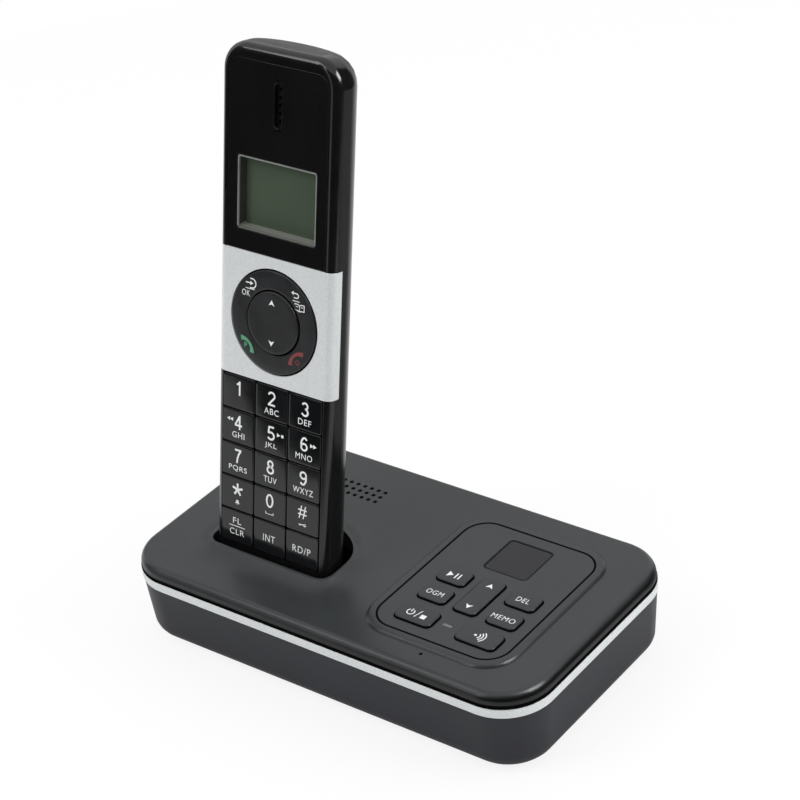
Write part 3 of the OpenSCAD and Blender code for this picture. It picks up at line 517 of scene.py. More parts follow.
class Skin:
    """Points and faces of one piece, gathered from grids of points."""

    def __init__(self) -> None:
        """Starts with nothing."""
        self.points: list[Array] = []
        self.faces: list[list[int]] = []
        self.count = 0

    def take(self, points: Array) -> int:
        """Adds points.

        Args:
            points: The points, in any grid.

        Returns:
            The first one's number.
        """
        self.points.append(points.reshape(-1, 3))
        self.count += self.points[-1].shape[0]
        return self.count - self.points[-1].shape[0]

    def loft(self, rings: Array, closed: bool = False, capped: bool = True) -> "Skin":
        """Joins rings of equal count by quads, each ring closed on itself.

        Args:
            rings: Grid of ring by point by coordinate.
            closed: Joins the last ring to the first.
            capped: Fills the first and last ring where it isn't closed.

        Returns:
            The skin, for chaining.
        """
        index = self._numbers(rings)
        rows = np.vstack([index, index[:1]]) if closed else index
        self._quads(np.hstack([rows, rows[:, :1]]))
        if capped and not closed:
            self.faces += [index[0][::-1].tolist(), index[-1].tolist()]
        return self

    def sheet(self, grid: Array) -> "Skin":
        """Joins an open grid of points by quads and returns the skin, for chaining."""
        self._quads(self._numbers(grid))
        return self

    def _numbers(self, grid: Array) -> Array:
        """Adds a grid of points and returns the grid of their numbers."""
        rows, columns = grid.shape[:2]
        return self.take(grid) + np.arange(rows * columns).reshape(rows, columns)

    def _quads(self, index: Array) -> None:
        """Adds a quad for each step of a grid of point numbers."""
        corners = [index[:-1, :-1], index[:-1, 1:], index[1:, 1:], index[1:, :-1]]
        self.faces += np.stack(corners, axis=-1).reshape(-1, 4).tolist()

    def build(self, name: str, body: str, finish: Finish, place: Place,
              stands_for: tuple[str, ...] = (), crease: float = 32.0,
              facing: Triple | None = None) -> Object:
        """Makes the mesh object, rides it on its body and dresses it.

        Args:
            name: Name of the piece.
            body: Body of the part that carries it.
            finish: Its finish.
            place: Takes the points to the world.
            stands_for: Solids of the part that the piece replaces.
            crease: Edges sharper than this many degrees stay sharp.
            facing: Way that an open sheet looks; a closed skin needs none.

        Returns:
            The new object.
        """
        piece = new_object(name, place(np.concatenate(self.points)), self.faces)
        mesh = piece.data
        shell = bmesh.new()
        shell.from_mesh(mesh)
        bmesh.ops.remove_doubles(shell, verts=shell.verts, dist=WELD)
        bmesh.ops.recalc_face_normals(shell, faces=shell.faces)
        shell.normal_update()
        if facing and sum(f.calc_area() * f.normal.dot(facing) for f in shell.faces) < 0:
            bmesh.ops.reverse_faces(shell, faces=shell.faces)
        shell.to_mesh(mesh)
        shell.free()
        mesh.polygons.foreach_set("use_smooth", np.ones(len(mesh.polygons), dtype=bool))
        mesh.set_sharp_from_angle(angle=np.radians(crease))
        mesh.materials.append(finish.material())
        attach(piece, body)
        if stands_for:
            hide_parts(*stands_for)
        LOG.info("%s: %d faces on %s", name, len(mesh.polygons), body)
        return piece


def edge_round(piece: Object, width: float, steps: int, angle: float) -> None:
    """Rounds a piece's sharp edges with a bevel and evens its shading.

    Args:
        piece: The object.
        width: Width of the rounding.
        steps: Segments across it.
        angle: Edges sharper than this many degrees are rounded.
    """
    bevel = piece.modifiers.new("edge_round", "BEVEL")
    bevel.width, bevel.segments = width * MM, steps
    bevel.limit_method, bevel.angle_limit = "ANGLE", np.radians(angle)
    bevel.use_clamp_overlap, bevel.miter_outer = True, "MITER_SHARP"
    piece.modifiers.new("even_shading", "WEIGHTED_NORMAL").keep_sharp = True


def plate(piece: Object, depth: float, edge: float) -> None:
    """Gives a sheet its thickness, inward from its face, and soft edges.

    Args:
        piece: The object.
        depth: Thickness.
        edge: Width of the edge rounding.
    """
    wall = piece.modifiers.new("wall", "SOLIDIFY")
    wall.thickness, wall.offset, wall.use_even_offset = depth * MM, -1.0, True
    edge_round(piece, edge, steps=3, angle=50.0)


def rounded_loop(low: Pair, high: Pair, radii: float | tuple[float, ...], arc: int = 8) -> Array:
    """Walks round a rectangle: a quarter circle at each corner and even steps between.

    Args:
        low: Lowest corner.
        high: Highest corner.
        radii: Corner radius, or four from the upper right, counter-clockwise.
        arc: Steps in each quarter circle.

    Returns:
        Rows of right and up, closed without repeating the first.
    """
    turn = np.radians(np.linspace(0, 90, arc + 1))
    middles = ((high[0], high[1]), (low[0], high[1]), (low[0], low[1]), (high[0], low[1]))
    toward = ((-1, -1), (1, -1), (1, 1), (-1, 1))
    corners = [np.stack([m[0] + t[0] * r + r * np.cos(turn + k * np.pi / 2),
                         m[1] + t[1] * r + r * np.sin(turn + k * np.pi / 2)], axis=-1)
               for k, (m, t, r) in enumerate(zip(middles, toward, np.broadcast_to(radii, 4)))]
    share = np.linspace(0, 1, SIDE_POINTS + 2)[1:-1, None]
    return np.concatenate([np.concatenate([here, here[-1] + share * (after[0] - here[-1])])
                           for here, after in zip(corners, corners[1:] + corners[:1])])


def raised(loop: Array, height: float | Array) -> Array:
    """Adds a height to a loop of right and up, which may differ from point to point."""
    level = np.broadcast_to(np.asarray(height, dtype=float), (loop.shape[0],))
    return np.concatenate([loop, level[:, None]], axis=1)


def ringed(low: Pair, high: Pair, corner: float, section: Iterable[Pair], arc: int = 8,
           least: float = 0.0) -> Array:
    """Carries a section of growth and level round a rectangle, whose corners grow with it.

    Args:
        low: Lowest corner.
        high: Highest corner.
        corner: Corner radius.
        section: Growth, inward negative, and level of each ring.
        arc: Steps in each quarter circle.
        least: Smallest corner radius.

    Returns:
        Grid of ring by point by coordinate.
    """
    low, high = np.array(low), np.array(high)
    return np.stack([raised(rounded_loop(low - g, high + g, max(corner + g, least), arc), z)
                     for g, z in section])


@dataclass
class Cap:
    """A key cap: a rounded rectangle with a rounded edge and a gently crowned face.

    Attributes:
        name: Name of the key, its body and the solid that it stands for.
        place: Where it goes.
        size: Width, and height in its face.
        top: Level of the crown's middle.
        foot: Level of the cap's underside.
        corner: Corner radius.
        edge: Radius of the edge.
        crown: Drop from the middle to the middle of an edge, across and along.
        finish: The cap's finish.
        flange: Growth and levels of the flange under the cap, or none.
        least: Smallest corner radius of an inner loop.
    """

    name: str
    place: Place
    size: Pair
    top: float
    foot: float
    corner: float
    edge: float
    crown: Pair
    finish: Finish
    flange: Triple | None = None
    least: float = 0.15

    def level(self, flat: Array) -> Array:
        """Gives the face's level: the top less a paraboloid across and along."""
        across, along = flat[:, 0] / (self.size[0] / 2), flat[:, 1] / (self.size[1] / 2)
        return self.top - self.crown[0] * across ** 2 - self.crown[1] * along ** 2

    def loop(self, inset: float) -> Array:
        """Walks round the cap's outline, moved inward by an inset."""
        half = np.array(self.size) / 2 - inset
        return rounded_loop(-half, half, max(self.corner - inset, self.least))

    def build(self) -> None:
        """Lofts the cap from its foot over the rounded edge to the middle of its face."""
        turn = np.radians(np.linspace(0, 90, 7))
        rim = [raised(lp, self.level(lp) - self.edge * (1 - np.sin(t)))
               for t in turn for lp in [self.loop(self.edge * (1 - np.cos(t)))]]
        inner = self.loop(self.edge)
        face = [raised(inner * s, self.level(inner * s)) for s in (0.93, 0.8, 0.6, 0.35, 0.12, 0.0)]
        skin = Skin().loft(np.stack([raised(self.loop(0.0), self.foot), *rim, *face]))
        if self.flange:
            grow, *levels = self.flange
            skin.loft(np.stack([raised(self.loop(-grow), level) for level in levels]))
        skin.build(self.name + "_cap", self.name, self.finish, self.place, (self.name,),
                   crease=50.0)


class Icon(Enum):
    """Small printed signs that need no words."""

    HEAD_UP = "arrowhead up"
    HEAD_DOWN = "arrowhead down"
    PLAY = "triangle right"
    BACK = "triangle left"
    STOP = "square"
    BAR = "upright bar"
    RULE = "level rule"
    SLASH = "slash"
    POWER = "power"
    WAVES = "page"
    BELL = "bell"
    SPACE = "space"
    LOCK = "key"
    BOOK = "book"
    RETURN = "return"
    ENTER = "enter"
    CALL = "handset up"
    HANG = "handset down"
    STAR = "asterisk"


# A word's text, cap height, and middle right and up.
Word = tuple[str, float, float, float]
# A sign, its half width and half height, and its middle right and up.
Sign = tuple[Icon, float, float, float, float]


def pen(*flat: float) -> Array:
    """Lists points from their numbers, right and up in turn."""
    return np.array(flat, dtype=float).reshape(-1, 2)


def bow(radius: float | Pair, start: float, end: float, middle: Pair = (0.0, 0.0)) -> Array:
    """Walks along an ellipse, middle + radius * (cos, sin), between two angles in degrees."""
    turn = np.radians(np.linspace(start, end, 24))
    return np.array(middle) + np.stack([np.cos(turn), np.sin(turn)], axis=-1) * radius


def even(width: float, path: Array) -> Stroke:
    """Makes a stroke of one width."""
    return path, width, width


# Flat outlines of the signs in a square of half width 1, as closed polygons.
SOLID_SIGNS: dict[Icon, list[Array]] = {
    Icon.HEAD_UP: [pen(0, 1, 0.85, -0.85, 0, -0.4, -0.85, -0.85)],
    Icon.HEAD_DOWN: [pen(0, -1, -0.85, 0.85, 0, 0.4, 0.85, 0.85)],
    Icon.PLAY: [pen(0.9, 0, -0.8, 0.9, -0.8, -0.9)],
    Icon.BACK: [pen(-0.9, 0, 0.8, -0.9, 0.8, 0.9)],
    Icon.STOP: [pen(0.8, 0.8, -0.8, 0.8, -0.8, -0.8, 0.8, -0.8)],
    Icon.BAR: [pen(0.25, 1, -0.25, 1, -0.25, -1, 0.25, -1)],
    Icon.RULE: [pen(1, 0.08, -1, 0.08, -1, -0.08, 1, -0.08)],
    Icon.SLASH: [pen(0.55, 1.1, 0.3, 1.1, -0.55, -1.1, -0.3, -1.1)],
    Icon.BELL: [pen(0.85, -0.5, 0.5, -0.1, 0.45, 0.5, 0.2, 0.85, -0.2, 0.85, -0.45, 0.5,
                    -0.5, -0.1, -0.85, -0.5),
                pen(0.25, -0.65, -0.25, -0.65, -0.15, -0.9, 0.15, -0.9)],
    Icon.RETURN: [pen(-1.0, 0.55, -0.35, 1.05, -0.35, 0.05)],
    Icon.ENTER: [pen(0.5, 0.0, -0.1, 0.42, -0.1, -0.42)],
}
# Strokes of the signs in the same square.
STROKE_SIGNS: dict[Icon, list[Stroke]] = {
    Icon.POWER: [even(0.22, bow(0.8, 125, 415)), even(0.22, pen(0, 1.05, 0, 0.1))],
    Icon.WAVES: [even(0.24, bow(0.12, 0, 359, (-0.9, 0))),
                 *(even(0.2, bow(r, -48, 48, (-0.9, 0))) for r in (0.75, 1.2, 1.65))],
    Icon.SPACE: [even(0.15, pen(-1, 0.35, -1, -0.2, 1, -0.2, 1, 0.35))],
    Icon.LOCK: [even(0.22, bow(0.3, 0, 359, (0.75, 0.05))), even(0.2, pen(0.5, 0.05, -1, 0.05)),
                even(0.2, pen(-0.85, 0.05, -0.85, -0.35)), even(0.2, pen(-0.5, 0.05, -0.5, -0.3))],
    Icon.BOOK: [*(even(0.2, pen(0, 0.55, s * 0.4, 0.75, s, 0.75, s, -0.65, s * 0.4, -0.65,
                                0, -0.85)) for s in (-1, 1)),
                even(0.18, pen(0, 0.55, 0, -0.85)), even(0.16, pen(-0.75, 0.2, -0.3, 0.2)),
                even(0.16, pen(0.3, 0.2, 0.75, 0.2))],
    Icon.RETURN: [even(0.26, np.concatenate([pen(-0.45, 0.55), bow(0.55, 90, -90, (0.35, 0.0)),
                                             pen(-0.3, -0.55)]))],
    Icon.ENTER: [even(0.22, pen(-0.98, 0, 0, 0)),
                 even(0.24, bow((0.8, 0.98), 112, -112, (0.18, 0.0)))],
    Icon.CALL: [(bow((1.48, 1.6), 100, -6, (-0.76, -0.87)), 0.72, 0.4)],
    Icon.HANG: [(bow((1.58, 1.78), 80, 184, (0.77, -0.95)), 0.72, 0.4)],
    Icon.STAR: [even(0.34, pen(0, 0, np.cos(a), np.sin(a)))
                for a in np.radians(range(90, 450, 72))],
}
# Pen paths of the numerals in a box of half height 1.
NUMERALS: dict[str, list[Array]] = {
    "0": [bow((0.5, 0.87), 0, 360)],
    "1": [pen(-0.36, 0.5, -0.1, 0.61, 0.1, 0.88), pen(0.12, 1.0, 0.12, -1.0)],
    "2": [np.concatenate([bow((0.5, 0.46), 168, -32, (0.0, 0.41)), pen(-0.47, -0.84)]),
          pen(-0.6, -0.87, 0.58, -0.87)],
    "3": [bow((0.43, 0.42), 160, -90, (0.0, 0.45)), bow((0.5, 0.46), 90, -160, (0.0, -0.41))],
    "4": [pen(0.2, -1.0, 0.2, 1.0), pen(0.18, 0.9, -0.55, -0.4), pen(-0.63, -0.42, 0.6, -0.42)],
    "5": [pen(0.48, 0.87, -0.4, 0.87), pen(-0.32, 0.9, -0.43, -0.02),
          bow((0.53, 0.5), 138, -152, (-0.02, -0.37))],
    "6": [bow((0.48, 0.46), 0, 360, (0.0, -0.41)), bow((0.55, 0.97), 195, 48, (0.07, -0.1))],
    "7": [pen(-0.55, 0.87, 0.55, 0.87), pen(0.47, 0.87, 0.12, 0.3, -0.1, -0.35, -0.18, -1.0)],
    "8": [bow((0.4, 0.41), 0, 360, (0.0, 0.46)), bow((0.5, 0.46), 0, 360, (0.0, -0.41))],
}
NUMERALS["9"] = [-path for path in NUMERALS["6"]]
# Widths of the printed words.
WORD_WIDTHS: dict[str, float] = {
    "ABC": 5.7, "DEF": 5.1, "GHI": 4.9, "JKL": 4.7, "MNO": 6.5, "PQRS": 7.3, "TUV": 5.2,
    "WXYZ": 7.9, "FL": 3.4, "CLR": 5.9, "INT": 4.8, "RD/P": 7.2, "#": 3.4, "OGM": 6.1, "DEL": 4.6,
    "MEMO": 8.3, "OK": 3.1, "P": 1.1}


@dataclass
class Print:
    """Ink on one face: words and signs that follow the face as a thin raised film.

    Attributes:
        name: Name of the piece.
        body: Body that carries it.
        place: Where the face is.
        level: Level of the face under rows of right and up.
        words: Its words.
        signs: Its signs.
        ink: The ink.
        weight: Growth of the letters' strokes as a share of the letter size.
    """

    name: str
    body: str
    place: Place
    level: Level
    words: Iterable[Word] = ()
    signs: Iterable[Sign] = ()
    ink: Finish = WHITE_INK
    weight: float = 0.0

    def build(self) -> None:
        """Gathers the words and signs and lays them on the face."""
        skin = Skin()
        for text, height, right, up in self.words:
            for path in NUMERALS.get(text, []):
                self._stroke(skin, path * height / 2 + np.array([right, up]), NUMERAL_PEN,
                             NUMERAL_PEN)
            if text not in NUMERALS:
                self._word(skin, text, height, (right, up, 0.0))
        for sign, wide, high, right, up in self.signs:
            size, middle, small = np.array([wide, high]), np.array([right, up]), min(wide, high)
            for outline in SOLID_SIGNS.get(sign, []):
                loop = outline * size + middle
                skin.loft(np.stack([raised(loop, -INK_FILM), raised(loop, INK_FILM)]))
            for path, ends, waist in STROKE_SIGNS.get(sign, []):
                self._stroke(skin, path * size + middle, ends * small, waist * small)
        skin.build(self.name, self.body, self.ink, self._on_face, crease=30.0)

    def _on_face(self, flat: Array) -> Array:
        """Lifts flat work to the face's level and takes it to the world."""
        return self.place(raised(flat[:, :2], self.level(flat[:, :2]) + flat[:, 2]))

    @staticmethod
    def _stroke(skin: Skin, path: Array, ends: float, waist: float) -> None:
        """Runs a flat bar along a path, its sides on the mitre 2 (a + b) / |a + b|^2 of normals.

        Args:
            skin: Skin that takes the bar.
            path: Rows of right and up.
            ends: Width at both ends.
            waist: Width in the middle.
        """
        step = np.diff(path, axis=0)
        side = np.stack([-step[:, 1], step[:, 0]], -1) / np.linalg.norm(step, axis=1)[:, None]
        both = np.concatenate([side[:1], side]) + np.concatenate([side, side[-1:]])
        normal = 2 * both / (both ** 2).sum(axis=1)[:, None]
        share = np.abs(np.linspace(-1, 1, path.shape[0]))[:, None] ** 2
        half = normal * (waist + (ends - waist) * share) / 2
        left, right = path + half, path - half
        skin.loft(np.stack([raised(left, INK_FILM), raised(right, INK_FILM),
                            raised(right, -INK_FILM), raised(left, -INK_FILM)], axis=1))

    def _word(self, skin: Skin, text: str, height: float, middle: Triple) -> None:
        """Sets text in Blender's own sans face, scaled to its cap height and width.

        Args:
            skin: Skin that takes the text.
            text: The word.
            height: Cap height.
            middle: Its middle.
        """
        curve = bpy.data.curves.new(self.name, "FONT")
        curve.body, curve.extrude, curve.resolution_u = text, 0.01, 6
        curve.offset, curve.space_character = self.weight, LETTER_STEP
        holder = bpy.data.objects.new(self.name, curve)
        bpy.context.scene.collection.objects.link(holder)
        bpy.context.view_layer.update()
        graph = bpy.context.evaluated_depsgraph_get()
        mesh = bpy.data.meshes.new_from_object(holder.evaluated_get(graph))
        points = np.empty(len(mesh.vertices) * 3)
        mesh.vertices.foreach_get("co", points)
        points = points.reshape(-1, 3)
        low, high = points.min(axis=0), points.max(axis=0)
        size = np.array([WORD_WIDTHS[text], height, 2 * INK_FILM])
        points = (points - (low + high) / 2) * size / (high - low)
        first = skin.take(points + np.array(middle))
        skin.faces += [[first + i for i in face.vertices] for face in mesh.polygons]
        bpy.data.objects.remove(holder)
        bpy.data.curves.remove(curve)
        bpy.data.meshes.remove(mesh)


class KeptSolids:
    """Solids of the part that keep their shape and get smooth shading and a finish."""

    def __init__(self, sharp_degrees: float = 28.0) -> None:
        """Builds the shading group: joins the loose triangles and keeps real edges sharp.

        Args:
            sharp_degrees: Edges sharper than this stay sharp.
        """
        self.group = bpy.data.node_groups.new("smooth_solid", "GeometryNodeTree")
        for way in ("INPUT", "OUTPUT"):
            self.group.interface.new_socket("Geometry", in_out=way,
                                            socket_type="NodeSocketGeometry")
        source = add(self.group, "NodeGroupInput")
        weld = add(self.group, "GeometryNodeMergeByDistance", {"Distance": WELD},
                   {"Geometry": source.outputs[0]})
        bare = add(self.group, "GeometryNodeRemoveAttribute", {"Name": "custom_normal"},
                   {0: weld.outputs[0]})
        smooth = add(self.group, "GeometryNodeSetShadeSmooth", {}, {0: bare.outputs[0]},
                     domain="FACE")
        angle = add(self.group, "GeometryNodeInputMeshEdgeAngle")
        sharp = add(self.group, "FunctionNodeCompare", {1: float(np.radians(sharp_degrees))},
                    {0: angle.outputs[0]}, data_type="FLOAT", operation="GREATER_THAN")
        edges = add(self.group, "GeometryNodeSetShadeSmooth", {"Shade Smooth": False},
                    {0: smooth.outputs[0], "Selection": sharp.outputs[0]}, domain="EDGE")
        add(self.group, "NodeGroupOutput", {}, {0: edges.outputs[0]})

    def dress(self, finish: Finish, edge: float, *nodes: str) -> None:
        """Smooths solids, rounds their edges where asked, and gives them a finish.

        Args:
            finish: The finish.
            edge: Width of the edge rounding, or 0 for none.
            *nodes: Names of the solids.
        """
        for node in nodes:
            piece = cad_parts[node]
            piece.modifiers.new("smooth_solid", "NODES").node_group = self.group
            if edge:
                edge_round(piece, edge, steps=2, angle=40.0)
            for place in piece.material_slots:
                place.material = finish.material()
            LOG.info("%s: kept, %s", node, finish.name)


@dataclass(frozen=True)
class Outline:
    """A rounded rectangle on the base.

    Attributes:
        middle: Its middle.
        half: Half its width and depth.
        corner: Its corner radius.
    """

    middle: Pair
    half: Pair
    corner: float

    def carry(self, name: str, section: Section, finish: Finish) -> None:
        """Builds a piece of the base by carrying a closed section of growth and level round.

        Args:
            name: Name of the piece.
            section: The section's points.
            finish: Its finish.
        """
        wide, deep = self.half
        rings = ringed((-wide, -deep), (wide, deep), self.corner, section, arc=16)
        skin = Skin().loft(rings, closed=True)
        skin.build(name, "base", finish, on_panel(*self.middle), crease=35.0)


@dataclass
class BaseUnit:
    """Base with the answering machine: shells, strip, panel, sockets and feet.

    Attributes:
        solids: The solids that are kept.
        panel: Outline of the panel plate.
        window: Outline of the message window.
        shell: Outline of the upper shell's lower edge.
        surround: Section of the raised surround of the panel.
        panel_gap_shade: Section of the painted-shade black sheet round the panel.
        window_gap_shade: Section of the painted-shade black sheet round the window.
        shell_gap_shade: Section of the painted-shade black sheet over the silver strip.
        light: Middle of the light pipe.
        light_half: Half its width and depth.
        light_corner: Its corner radius.
        light_edge: Radius of its upper edge.
        light_levels: Levels of its foot and of its edge's beginning.
    """

    solids: KeptSolids
    panel: Outline = Outline((36.5, -0.6), (23.65, 29.8), 8.0)
    window: Outline = Outline((36.75, 16.4), (7.95, 8.15), 1.5)
    shell: Outline = Outline((0.0, 0.0), (77.25, 43.25), 16.25)
    surround: Section = ((0.3, 30.0), (0.3, 31.02), (2.4, 31.02), (2.66, 30.98), (2.88, 30.86),
                         (3.4, 30.34), (3.5, 30.22), (3.55, 30.0))
    panel_gap_shade: Section = ((-0.2, 30.4), (-0.2, 31.04), (0.5, 31.04), (0.5, 30.4))
    window_gap_shade: Section = ((-0.3, 30.5), (-0.3, 30.87), (0.0, 30.9), (0.13, 31.01),
                            (0.32, 31.01), (0.32, 30.5))
    shell_gap_shade: Section = ((-1.3, 25.7), (-1.3, 26.95), (-0.05, 26.95), (0.02, 26.85),
                           (0.02, 26.25), (0.23, 25.95), (0.23, 25.7))
    light: Pair = (36.7, -21.6)
    light_half: Pair = (1.7, 0.55)
    light_corner: float = 0.5
    light_edge: float = 0.3
    light_levels: Pair = (28.4, 30.8)

    def build(self) -> None:
        """Dresses kept solids, adds the surround, painted-shade seams and the light pipe."""
        dress = self.solids.dress
        dress(SHELL, 0.15, "base_top_cover", "control_panel")
        dress(LOWER, 0.15, "base_bottom_cover")
        dress(SILVER, 0.12, "trim_strip")
        dress(WINDOW, 0.12, "message_window")
        dress(CAPSULE, 0.0, "message_display", "base_speaker", "base_microphone", "power_socket",
              "line_socket")
        dress(SILICONE, 0.0, "panel_mat")
        dress(SILICONE, 0.3, "rubber_feet")
        dress(BOARD, 0.0, "panel_board", "base_board")
        dress(METAL, 0.1, "cradle_contacts", "base_screws")
        self.panel.carry("panel_surround", self.surround, SHELL)
        # Black sheets in the seams: painted shade of the gaps.
        self.panel.carry("panel_gap_shade", self.panel_gap_shade, GAP_SHADE)
        self.window.carry("window_gap_shade", self.window_gap_shade, GAP_SHADE)
        self.shell.carry("shell_gap_shade", self.shell_gap_shade, GAP_SHADE)
        self._light()

    def _light(self) -> None:
        """Lofts the light pipe as a low rounded bar with a soft top."""
        turn = np.radians(np.linspace(0, 90, 5))
        foot, edge = self.light_levels
        top = zip(-self.light_edge * (1 - np.cos(turn)), edge + self.light_edge * np.sin(turn))
        wide, deep = self.light_half
        rings = ringed((-wide, -deep), (wide, deep), self.light_corner, [(0.0, foot), *top])
        Skin().loft(rings).build("light_pipe_bar", "base", LIGHT, on_panel(*self.light),
                                 ("indicator_light",))


@dataclass
class ControlKeys:
    """Keys of the answering machine, each with its printed sign.

    Attributes:
        top: Level of the caps' middles.
        foot: Level of the caps' undersides.
        corner: Corner radius.
        edge: Radius of the edge.
        flange: Growth and levels of the flange under a cap.
        weight: Growth of the letters' strokes.
    """

    top: float = 31.8
    foot: float = 28.6
    corner: float = 1.7
    edge: float = 0.4
    flange: Triple = (0.9, 27.6, 28.6)
    weight: float = -0.006

    def build(self) -> None:
        """Builds the six caps and the two-way volume key with their prints."""
        self._key("key_play", (24.7, -0.6), (10.4, 7.2),
                  signs=[(Icon.PLAY, 1.15, 1.45, -1.6, 0.0), (Icon.BAR, 0.9, 1.3, 0.5, 0.0),
                         (Icon.BAR, 0.9, 1.3, 1.75, 0.0)])
        self._key("key_greeting", (24.75, -10.9), (10.3, 7.0), [("OGM", 2.1, -0.3, 0.1)])
        self._key("key_power", (26.0, -22.2), (13.3, 7.5),
                  signs=[(Icon.POWER, 1.55, 1.55, -2.4, 0.0), (Icon.SLASH, 1.2, 1.6, 0.3, 0.1),
                         (Icon.STOP, 1.15, 1.1, 2.5, -0.5)])
        self._key("key_delete", (50.45, -1.0), (10.6, 7.2), [("DEL", 2.1, -0.1, 0.0)])
        self._key("key_memo", (50.6, -11.4), (10.4, 7.0), [("MEMO", 2.1, -0.5, 0.1)])
        self._key("key_page", (48.9, -22.2), (14.2, 7.5),
                  signs=[(Icon.WAVES, 2.1, 1.75, 0.4, 0.1)])
        self._key("volume_rocker", (37.3, -5.5), (8.4, 18.0),
                  signs=[(Icon.HEAD_UP, 1.5, 1.1, 0.1, 5.6), (Icon.HEAD_DOWN, 1.5, 1.1, 0.0, -5.9)],
                  crown=(0.12, -0.1), rocks=True)

    def _key(self, name: str, middle: Pair, size: Pair, words: Iterable[Word] = (),
             signs: Iterable[Sign] = (), crown: Pair = (0.07, 0.07), rocks: bool = False) -> None:
        """Builds one cap and its print.

        Args:
            name: Name of the key.
            middle: Its middle on the base.
            size: Width and depth of the cap.
            words: Words on it.
            signs: Signs on it.
            crown: Drop toward its edges; a negative one is a dish.
            rocks: Whether it rocks, and so goes down to the mat with no flange.
        """
        cap = Cap(name, on_panel(*middle), size, self.top + min(crown[1], 0.0),
                  self.flange[1] if rocks else self.foot, self.corner, self.edge, crown, PANEL_KEY,
                  None if rocks else self.flange)
        cap.build()
        Print("print_" + name, name, cap.place, cap.level, words, signs,
              weight=self.weight).build()


